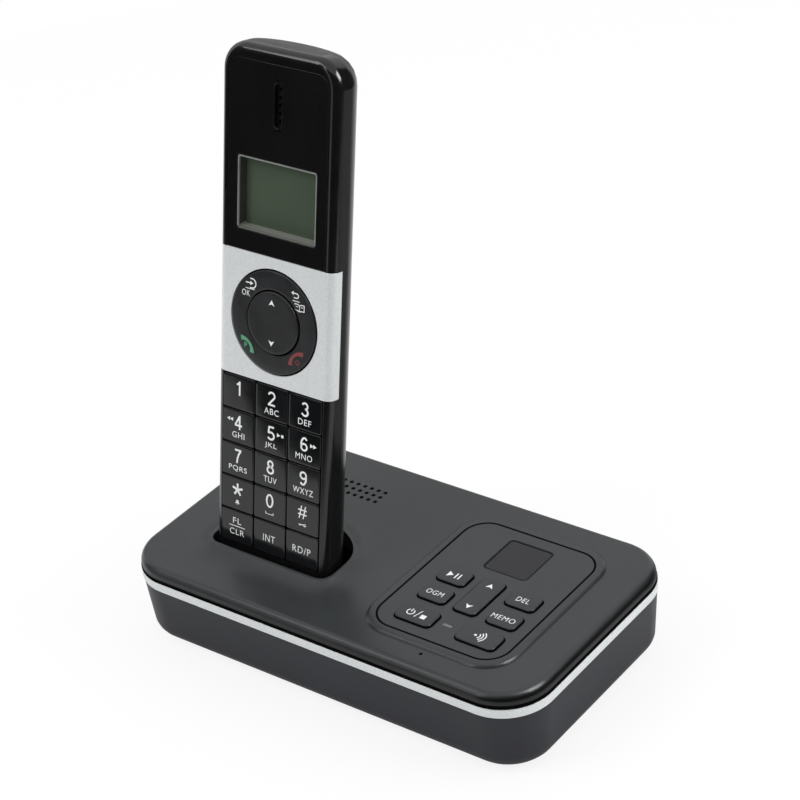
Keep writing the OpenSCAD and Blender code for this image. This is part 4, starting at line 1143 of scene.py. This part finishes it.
@dataclass
class Handset:
    """Handset shells, band, lens and display.

    Attributes:
        solids: The solids that are kept.
        band: Lower and upper end of the silver band.
        band_wall: Its thickness and the softness of its edges.
        band_flat: Half width of its flat face.
        half: Half width of the handset.
        edge: Radius of the band's side edges.
        band_back: Depths of the last two rows of its side walls.
        nav_bore: Radius of its bore for the ring key.
        lens_half: Half width of the lens.
        lens_wall: Its thickness and the softness of its edges.
        lens_ends: Lower end of the lens, the seam of its two plates and its upper end.
        lens_corner: Radius of its upper corners.
        lcd_half: Half width of the display's opening.
        lcd_ends: Lower and upper end of that opening.
        lcd_corner: Corner radius of that opening.
        rim_corners: Corner radius of the rim before it shrinks, and the least one.
        slot_half: Half width of the earpiece slot.
        slot_corner: Corner radius of the slot, just short of a half round.
        slot_ends: Lower and upper end of the slot.
        rim: Section of the display's bright rim.
        wall: Section of the wall under it.
    """

    solids: KeptSolids
    band: Pair = (57.2, 97.95)
    band_wall: Pair = (0.9, 0.18)
    band_flat: float = 19.3
    half: float = 22.3
    edge: float = 3.0
    band_back: Pair = (3.8, 4.55)
    nav_bore: float = 16.9
    lens_half: float = 19.1
    lens_wall: Pair = (1.15, 0.22)
    lens_ends: Triple = (98.05, 132.0, 157.2)
    lens_corner: float = 4.4
    lcd_half: float = 15.2
    lcd_ends: Pair = (104.65, 127.55)
    lcd_corner: float = 0.8
    rim_corners: Pair = (1.1, 0.3)
    slot_half: float = 1.325
    slot_corner: float = 1.32
    slot_ends: Pair = (138.0, 151.8)
    rim: Section = ((-0.03, -0.7), (-0.03, -0.3), (-0.09, -0.16), (-0.22, -0.1), (-0.4, -0.1),
                    (-0.5, -0.18), (-0.55, -0.34), (-0.55, -0.7))
    wall: Section = ((-0.03, -0.72), (-0.58, -0.72), (-0.95, -3.4), (-0.03, -3.4))

    def build(self) -> None:
        """Dresses the kept solids and builds the band, lens and bezel."""
        dress = self.solids.dress
        dress(BODY, 0.2, "handset_front_shell", "handset_rear_shell", "battery_door")
        dress(GLASS, 0.0, "display_module")
        dress(CAPSULE, 0.0, "earpiece_speaker", "ringer_speaker", "handset_microphone")
        dress(BOARD, 0.0, "handset_board")
        dress(SILICONE, 0.0, "keypad_mat", "nav_pad")
        dress(SLEEVE, 0.4, "battery_cells")
        dress(METAL, 0.08, "battery_contacts", "charge_contacts", "handset_screws")
        self._band()
        self._lens()
        self._bezel()

    def _band(self, count: int = 32) -> None:
        """Wraps the band: a plate from the bore out to a rectangle, then a round and a wall.

        Args:
            count: Steps along each side of the rectangle.
        """
        share = np.arange(count) / count
        (low, high), flat = self.band, self.band_flat
        up = low + (high - low) * share
        over = flat - 2 * flat * share
        same = np.ones(count)
        border = np.concatenate([np.stack(side, -1) for side in (
            (flat * same, up), (over, high * same), (-flat * same, low + high - up),
            (-over, low * same))])
        turn = np.arctan2(border[:, 1] - NAV_MIDDLE, border[:, 0])
        bore = np.stack([self.nav_bore * np.cos(turn),
                         NAV_MIDDLE + self.nav_bore * np.sin(turn)], axis=-1)
        skin = Skin().loft(np.stack([raised(bore + (border - bore) * s, 0.0)
                                     for s in (0.0, 0.15, 0.5, 1.0)]), capped=False)
        bend = np.radians(np.linspace(0, 90, 9))
        across = np.concatenate([flat + self.edge * np.sin(bend), [self.half, self.half]])
        depth = np.concatenate([self.edge * (1 - np.cos(bend)), self.band_back])
        rows = np.append(up, high)[:, None]
        for hand in (1, -1):
            skin.sheet(np.stack(np.broadcast_arrays(hand * across, rows, -depth), axis=-1))
        plate(skin.build("silver_band_wrap", "handset", SILVER, on_face(0, 0), ("silver_band",),
                         facing=FACE_WAY), *self.band_wall)

    def _lens(self) -> None:
        """Cuts the lens as two framed plates with a seam, round the display and the slot."""
        half, (low, split, high) = self.lens_half, self.lens_ends
        upper = (self.lens_corner, self.lens_corner, 0.0, 0.0)
        plates = (
            ((-half, low), (half, split), 0.0, self.lcd_half, self.lcd_ends, self.lcd_corner),
            ((-half, split), (half, high), upper, self.slot_half, self.slot_ends, self.slot_corner))
        skin = Skin()
        for start, end, radii, hole, (hole_low, hole_high), hole_r in plates:
            outer = rounded_loop(start, end, radii, arc=10)
            inner = rounded_loop((-hole, hole_low), (hole, hole_high), hole_r, arc=10)
            skin.loft(np.stack([raised(outer + (inner - outer) * s, 0.0)
                                for s in (0.0, 0.3, 0.7, 1.0)]), capped=False)
        plate(skin.build("gloss_lens", "handset", LENS, on_face(0, 0), ("display_lens",),
                         facing=FACE_WAY), *self.lens_wall)

    def _bezel(self) -> None:
        """Lofts the bright rim and, under it, the satin wall that goes down to the glass."""
        half, (low, high), (corner, least) = self.lcd_half, self.lcd_ends, self.rim_corners
        for name, section, finish, stands_for in (
                ("display_rim", self.rim, BEZEL, ("display_bezel",)),
                ("display_wall", self.wall, WALL, ())):
            rings = ringed((-half, low), (half, high), corner, section, least=least)
            Skin().loft(rings, closed=True).build(name, "handset", finish, on_face(0, 0),
                                                  stands_for)


@dataclass
class NavKeys:
    """Ring key with four press places round a two-way rocker.

    Attributes:
        ring: Section of the ring key, radius and level.
        disc: Section of the rocker.
        steps: Steps round the keys.
        face_from: Level from which a section's points belong to the printed face.
    """

    ring: Section = ((10.4, -1.95), (10.4, 0.06), (10.43, 0.16), (10.52, 0.25), (10.7, 0.29),
                     (11.2, 0.3), (13.4, 0.3), (15.95, 0.3), (16.17, 0.27), (16.31, 0.19),
                     (16.38, 0.06), (16.4, -0.15), (16.4, -1.95))
    disc: Section = ((0.0, 0.6), (3.0, 0.61), (6.0, 0.65), (8.4, 0.69), (9.45, 0.7), (9.65, 0.68),
                     (9.79, 0.6), (9.87, 0.46), (9.9, 0.25), (9.9, -1.95), (0.0, -1.95))
    steps: int = 144
    face_from: float = -0.2

    def build(self) -> None:
        """Turns both keys and prints their signs."""
        place = on_face(0.0, NAV_MIDDLE)
        for body, section, hollow in (("nav_ring", self.ring, True),
                                      ("nav_rocker", self.disc, False)):
            self._turned(section, hollow).build(body + "_key", body, RING, place, (body,),
                                                crease=40.0)
        ring, disc = self._level(self.ring), self._level(self.disc)
        Print("print_nav_rocker", "nav_rocker", place, disc,
              signs=[(Icon.HEAD_UP, 1.3, 1.0, -0.4, 6.4),
                     (Icon.HEAD_DOWN, 1.3, 1.0, -0.3, -6.5)]).build()
        Print("print_nav_ring", "nav_ring", place, ring, [("OK", 1.9, -10.8, 7.4)],
              [(Icon.ENTER, 2.05, 1.55, -8.95, 10.8), (Icon.RULE, 1.75, 1.5, -9.2, 8.95),
               (Icon.RETURN, 1.5, 1.3, 8.3, 10.8), (Icon.RULE, 1.35, 1.5, 8.75, 9.1),
               (Icon.BOOK, 1.8, 1.4, 10.1, 7.25)]).build()
        Print("print_nav_call", "nav_ring", place, ring, [("P", 1.7, -10.6, -9.55)],
              [(Icon.CALL, 2.5, 2.3, -9.95, -9.15)], GREEN_INK, weight=0.02).build()
        Print("print_nav_end", "nav_ring", place, ring,
              signs=[(Icon.HANG, 2.6, 2.3, 9.15, -9.3), (Icon.POWER, 0.95, 0.95, 9.85, -10.3)],
              ink=RED_INK).build()

    def _turned(self, section: Section, hollow: bool) -> Skin:
        """Turns a section of radius and level about the keys' axis.

        Args:
            section: The section's points.
            hollow: Whether the section is a closed ring's.

        Returns:
            The skin.
        """
        turn = np.linspace(0, 2 * np.pi, self.steps, endpoint=False)
        radius, level = np.array(section).T[:, :, None]
        rings = np.broadcast_arrays(radius * np.cos(turn), radius * np.sin(turn), level)
        return Skin().loft(np.stack(rings, axis=-1), closed=hollow, capped=False)

    def _level(self, section: Section) -> Level:
        """Makes the level of a turned face from the outward part of its section."""
        radius, level = np.array([p for p in section if p[1] > self.face_from]).T
        return lambda flat: np.interp(np.hypot(flat[:, 0], flat[:, 1]), radius, level)


@dataclass
class Keypad:
    """Fifteen key tiles in three columns and five rows.

    Attributes:
        pitch: Steps from key to key, across and along.
        size: Size of a tile.
        top_row: Middle of the top row along the handset.
        face: Level of a tile's middle.
        back: Level of its underside.
        corner: Its corner radius.
        edge: Radius of its edge.
        crown: Drop toward its edges.
        digit: Height of a numeral and its middle in the tile.
        small: Height of the small words and their middle in the tile.
    """

    pitch: Pair = (13.1, 11.4)
    size: Pair = (12.7, 11.0)
    top_row: float = 51.3
    face: float = 0.25
    back: float = -2.25
    corner: float = 0.6
    edge: float = 0.25
    crown: Pair = (0.015, 0.02)
    digit: Pair = (4.7, 1.5)
    small: Pair = (2.0, -2.75)

    def build(self) -> None:
        """Builds each tile and its print."""
        for number, (name, words, signs) in enumerate(self._legends()):
            row, column = divmod(number, 3)
            place = on_face((column - 1) * self.pitch[0], self.top_row - row * self.pitch[1])
            cap = Cap(name, place, self.size, self.face, self.back, self.corner, self.edge,
                      self.crown, TILE)
            cap.build()
            Print("print_" + name, name, place, cap.level, words, signs).build()

    def _legends(self) -> list[tuple[str, list[Word], list[Sign]]]:
        """Lists the keys, row by row from the upper left.

        Returns:
            Each key's name, words and signs.
        """
        (high, up), (small, low) = self.digit, self.small
        letters = ("", "ABC", "DEF", "GHI", "JKL", "MNO", "PQRS", "TUV", "WXYZ")
        beside = {"4": [(Icon.BACK, 0.7, 0.7, -4.0, 2.1), (Icon.BACK, 0.7, 0.7, -2.8, 2.1)],
                  "5": [(Icon.PLAY, 0.75, 0.75, 3.0, 1.6), (Icon.STOP, 0.55, 0.6, 4.5, 1.6)],
                  "6": [(Icon.PLAY, 0.75, 0.75, 3.0, 1.6), (Icon.PLAY, 0.75, 0.75, 4.2, 1.6)]}
        keys = []
        for digit, word in zip("123456789", letters):
            below = [(word, small, 0, low)] if word else []
            keys.append(("key_" + digit, [(digit, high, 0, up), *below], beside.get(digit, [])))
        return keys + [
            ("key_star", [], [(Icon.STAR, 2.1, 2.1, 0, up), (Icon.BELL, 1.15, 0.85, 0, low)]),
            ("key_0", [("0", high, 0, up)], [(Icon.SPACE, 1.5, 1.4, 0, low)]),
            ("key_hash", [("#", 4.3, 0, up)], [(Icon.LOCK, 1.3, 1.2, 0, low)]),
            ("key_flash", [("FL", small, 0, 2.1), ("CLR", small, 0, -1.7)],
             [(Icon.RULE, 3.2, 1.6, 0, 0.25)]),
            ("key_intercom", [("INT", 2.3, 0, 0)], []),
            ("key_redial", [("RD/P", 2.3, 0, 0)], [])]


def posed(right: Array, up: Array, back: Array, spot: Array) -> Matrix:
    """Makes an object's matrix from its three axes and its place in metres."""
    return Matrix([*np.stack([right, up, back, spot], axis=1).tolist(), [0.0, 0.0, 0.0, 1.0]])


@dataclass
class Studio:
    """Pale floor, soft light and the camera at the photograph's angle.

    Attributes:
        floor_r: Radius of the floor.
        yaw: Camera's turn to the right of the front, in degrees.
        pitch: Camera's height angle.
        roll: Camera's roll.
        distance: Camera's distance from the middle of the strip's top edge.
        shift: That middle's place in the view.
        middle_z: Height of that middle.
        sensor: Width of the camera's frame.
        lens: Focal length.
        aim: Height that the lamps look at, in metres.
        floor_glow: Share of the floor that is plain white where it is seen.
        glow_side: Way to the brightest part of the surround.
        glow: Least and most strength of the surround.
        dark_plan: The dark cards' turns from the front, to the right, in degrees and their
            distances there.
        grey_card: Left and right end and distance of the grey card's near and far edge.
        border: Half sizes of the pale card under the base.
    """

    floor_r: float = 560.0
    yaw: float = 39.872
    pitch: float = 31.583
    roll: float = -6.478
    distance: float = 764.743
    shift: Pair = (-1.892, -52.677)
    middle_z: float = 25.8
    sensor: float = 36.0
    lens: float = 109.346
    aim: float = 0.07
    floor_glow: float = 0.85
    glow_side: Triple = (-0.45, 0.7, 0.55)
    glow: Pair = (0.45, 0.95)
    dark_plan: tuple[Pair, ...] = ((-41.5, 520.0), (-40.5, 348.0), (-39.7, 345.0), (-37.3, 300.0),
                                   (50.0, 300.0), (90.0, 460.0))
    grey_card: tuple[Triple, Triple] = ((15.0, 420.0, 72.0), (150.0, 420.0, 440.0))
    border: Pair = (125.0, 90.0)

    def build(self) -> None:
        """Makes the camera, the floor, the world, the cards and the lamps."""
        bpy.context.scene.view_settings.view_transform = "Standard"
        self._camera()
        self._floor()
        self._world()
        self._standing_cards()
        self._lying_cards()
        self._lamp("key_lamp", (-0.55, -0.75, 0.95), 0.7, 6.0)
        self._lamp("side_lamp", (0.75, 0.35, 0.45), 0.6, 4.0).visible_glossy = False
        self._lamp("corner_lamp", (0.24, 0.076, 0.352), 0.16, 1.1).visible_diffuse = False

    def _camera(self) -> None:
        """Aims the camera: back is the way from the object to it, then right and up are rolled."""
        yaw, pitch, roll = np.radians([self.yaw, self.pitch, self.roll])
        back = np.array([np.sin(yaw) * np.cos(pitch), -np.cos(yaw) * np.cos(pitch), np.sin(pitch)])
        level = np.array([np.cos(yaw), np.sin(yaw), 0.0])
        rise = np.cross(back, level)
        right = np.cos(roll) * level + np.sin(roll) * rise
        up = np.cos(roll) * rise - np.sin(roll) * level
        spot = (back * self.distance - right * self.shift[0] - up * self.shift[1]
                + np.array([0, 0, self.middle_z])) * MM
        data = bpy.data.cameras.new("photo_camera")
        data.sensor_width, data.lens = self.sensor, self.lens
        camera = bpy.data.objects.new("photo_camera", data)
        camera.matrix_world = posed(right, up, back, spot)
        bpy.context.scene.collection.objects.link(camera)
        bpy.context.scene.camera = camera

    def _floor(self, steps: int = 128) -> None:
        """Lays a round pale floor that reads white and keeps the object's shadow.

        Args:
            steps: Points round its edge.
        """
        turn = np.linspace(0, 2 * np.pi, steps, endpoint=False)
        rim = np.stack([np.cos(turn), np.sin(turn), 0 * turn], axis=-1) * self.floor_r
        floor = new_object("floor", rim, [list(range(steps))])
        material = bpy.data.materials.new("paper_matte_white")
        tree = blank(material)
        share = add(tree, "ShaderNodeMath", {1: self.floor_glow}, {0: self._seen(tree)},
                    operation="MULTIPLY")
        paper = add(tree, "ShaderNodeBsdfDiffuse", {"Color": linear("#f4f4f4")})
        white = add(tree, "ShaderNodeEmission", {"Strength": 1.0})
        mix = add(tree, "ShaderNodeMixShader", {},
                  {0: share.outputs[0], 1: paper.outputs[0], 2: white.outputs[0]})
        add(tree, "ShaderNodeOutputMaterial", {}, {"Surface": mix.outputs[0]})
        floor.data.materials.append(material)

    def _world(self) -> None:
        """Surrounds the object with a soft glow, stronger behind on the left.

        Seen, mirrored or seen through, it is plain white.
        """
        world = bpy.data.worlds.new("soft_studio")
        bpy.context.scene.world = world
        tree = blank(world)
        side = np.array(self.glow_side) / np.linalg.norm(self.glow_side)
        way = add(tree, "ShaderNodeTexCoord").outputs["Generated"]
        toward = add(tree, "ShaderNodeVectorMath", {1: side.tolist()}, {0: way},
                     operation="DOT_PRODUCT")
        glow = spread(tree, toward.outputs["Value"], (-0.6, 0.8), self.glow,
                      interpolation_type="SMOOTHSTEP")
        white = {"Color": linear("#ffffff"), "Strength": 1.0}
        soft = add(tree, "ShaderNodeBackground", white, {"Strength": glow})
        plain = add(tree, "ShaderNodeBackground", white)
        mix = add(tree, "ShaderNodeMixShader", {},
                  {0: self._seen(tree), 1: soft.outputs[0], 2: plain.outputs[0]})
        add(tree, "ShaderNodeOutputWorld", {}, {"Surface": mix.outputs[0]})

    @staticmethod
    def _seen(tree: Tree) -> Socket:
        """Tells rays that show the surround, straight, mirrored or through, from mere light.

        Args:
            tree: Node tree that takes the nodes.

        Returns:
            A socket of 1 for the former and 0 for the latter.
        """
        ray = add(tree, "ShaderNodeLightPath").outputs
        seen = ray["Is Camera Ray"]
        for kind in ("Is Glossy Ray", "Is Transmission Ray"):
            seen = add(tree, "ShaderNodeMath", {}, {0: seen, 1: ray[kind]},
                       operation="MAXIMUM").outputs[0]
        return seen

    def _standing_cards(self, steps: int = 351) -> None:
        """Stands cards on arcs, r(a) from their plans' straight steps.

        Dark ones round the front keep the black gloss black, and their gap draws the light line
        along the handset's front edge. A grey one behind tones the handset's top.

        Args:
            steps: Points along each card.
        """
        rear_plan = ((0.0, 620.0),)
        for name, span, plan, high, colour in (
                ("dark_card_left", (-80.0, -21.0), self.dark_plan, 520.0, "#0c0c0c"),
                ("dark_card_right", (-10.0, 165.0), self.dark_plan, 520.0, "#0c0c0c"),
                ("rear_card", (-172.0, -100.0), rear_plan, 270.0, "#a8a8a8")):
            angle = np.linspace(*span, steps)
            radius, turn = np.interp(angle, *np.array(plan).T), np.radians(angle)
            foot = np.stack([radius * np.sin(turn), -radius * np.cos(turn), 0 * turn], axis=-1)
            self._mirrored(name, np.stack([foot, foot + np.array([0.0, 0.0, high])]), colour)

    def _lying_cards(self) -> None:
        """Lays a grey card behind on the right and a pale one under the base.

        The handset's side mirrors the first and the base's walls mirror the second.
        """
        wide, deep = self.border
        pale = ((-wide, wide, -deep), (-wide, wide, deep))
        for name, edges, z, colour in (("grey_card", self.grey_card, 0.6, "#8c8c8c"),
                                       ("pale_card", pale, 0.5, "#d2d2d2")):
            grid = np.array([[[left, y, z], [right, y, z]] for left, right, y in edges])
            self._mirrored(name, grid, colour)

    @staticmethod
    def _mirrored(name: str, grid: Array, colour: str) -> None:
        """Makes a felt card that only mirrors show.

        Args:
            name: Name of the card.
            grid: Its points.
            colour: Its colour.
        """
        skin = Skin().sheet(grid)
        card = new_object(name, np.concatenate(skin.points), skin.faces)
        material = bpy.data.materials.new("felt_" + name)
        material.use_nodes = True
        felt = material.node_tree.nodes["Principled BSDF"].inputs
        felt["Base Color"].default_value = linear(colour)
        felt["Roughness"].default_value = 0.9
        card.data.materials.append(material)
        card.visible_camera = card.visible_shadow = card.visible_diffuse = False

    def _lamp(self, name: str, spot: Triple, size: float, watts: float) -> Object:
        """Hangs a square soft lamp that looks at the phone's middle.

        Args:
            name: Name of the lamp.
            spot: Its place in metres.
            size: Side of the square in metres.
            watts: Its power.

        Returns:
            The lamp.
        """
        data = bpy.data.lights.new(name, "AREA")
        data.size, data.energy = size, watts
        lamp = bpy.data.objects.new(name, data)
        away = np.array(spot) - np.array([0.0, 0.0, self.aim])
        back = away / np.linalg.norm(away)
        right = np.cross([0.0, 0.0, 1.0], back)
        right /= np.linalg.norm(right)
        lamp.matrix_world = posed(right, np.cross(back, right), back, np.array(spot))
        lamp.visible_camera = False
        bpy.context.scene.collection.objects.link(lamp)
        return lamp


def main() -> None:
    """Builds the phone's looks in order."""
    logging.basicConfig(level=logging.INFO, format="%(name)s %(message)s")
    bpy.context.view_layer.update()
    Studio().build()
    solids = KeptSolids()
    BaseUnit(solids).build()
    ControlKeys().build()
    Handset(solids).build()
    NavKeys().build()
    Keypad().build()


if __name__ == "__main__":
    main()
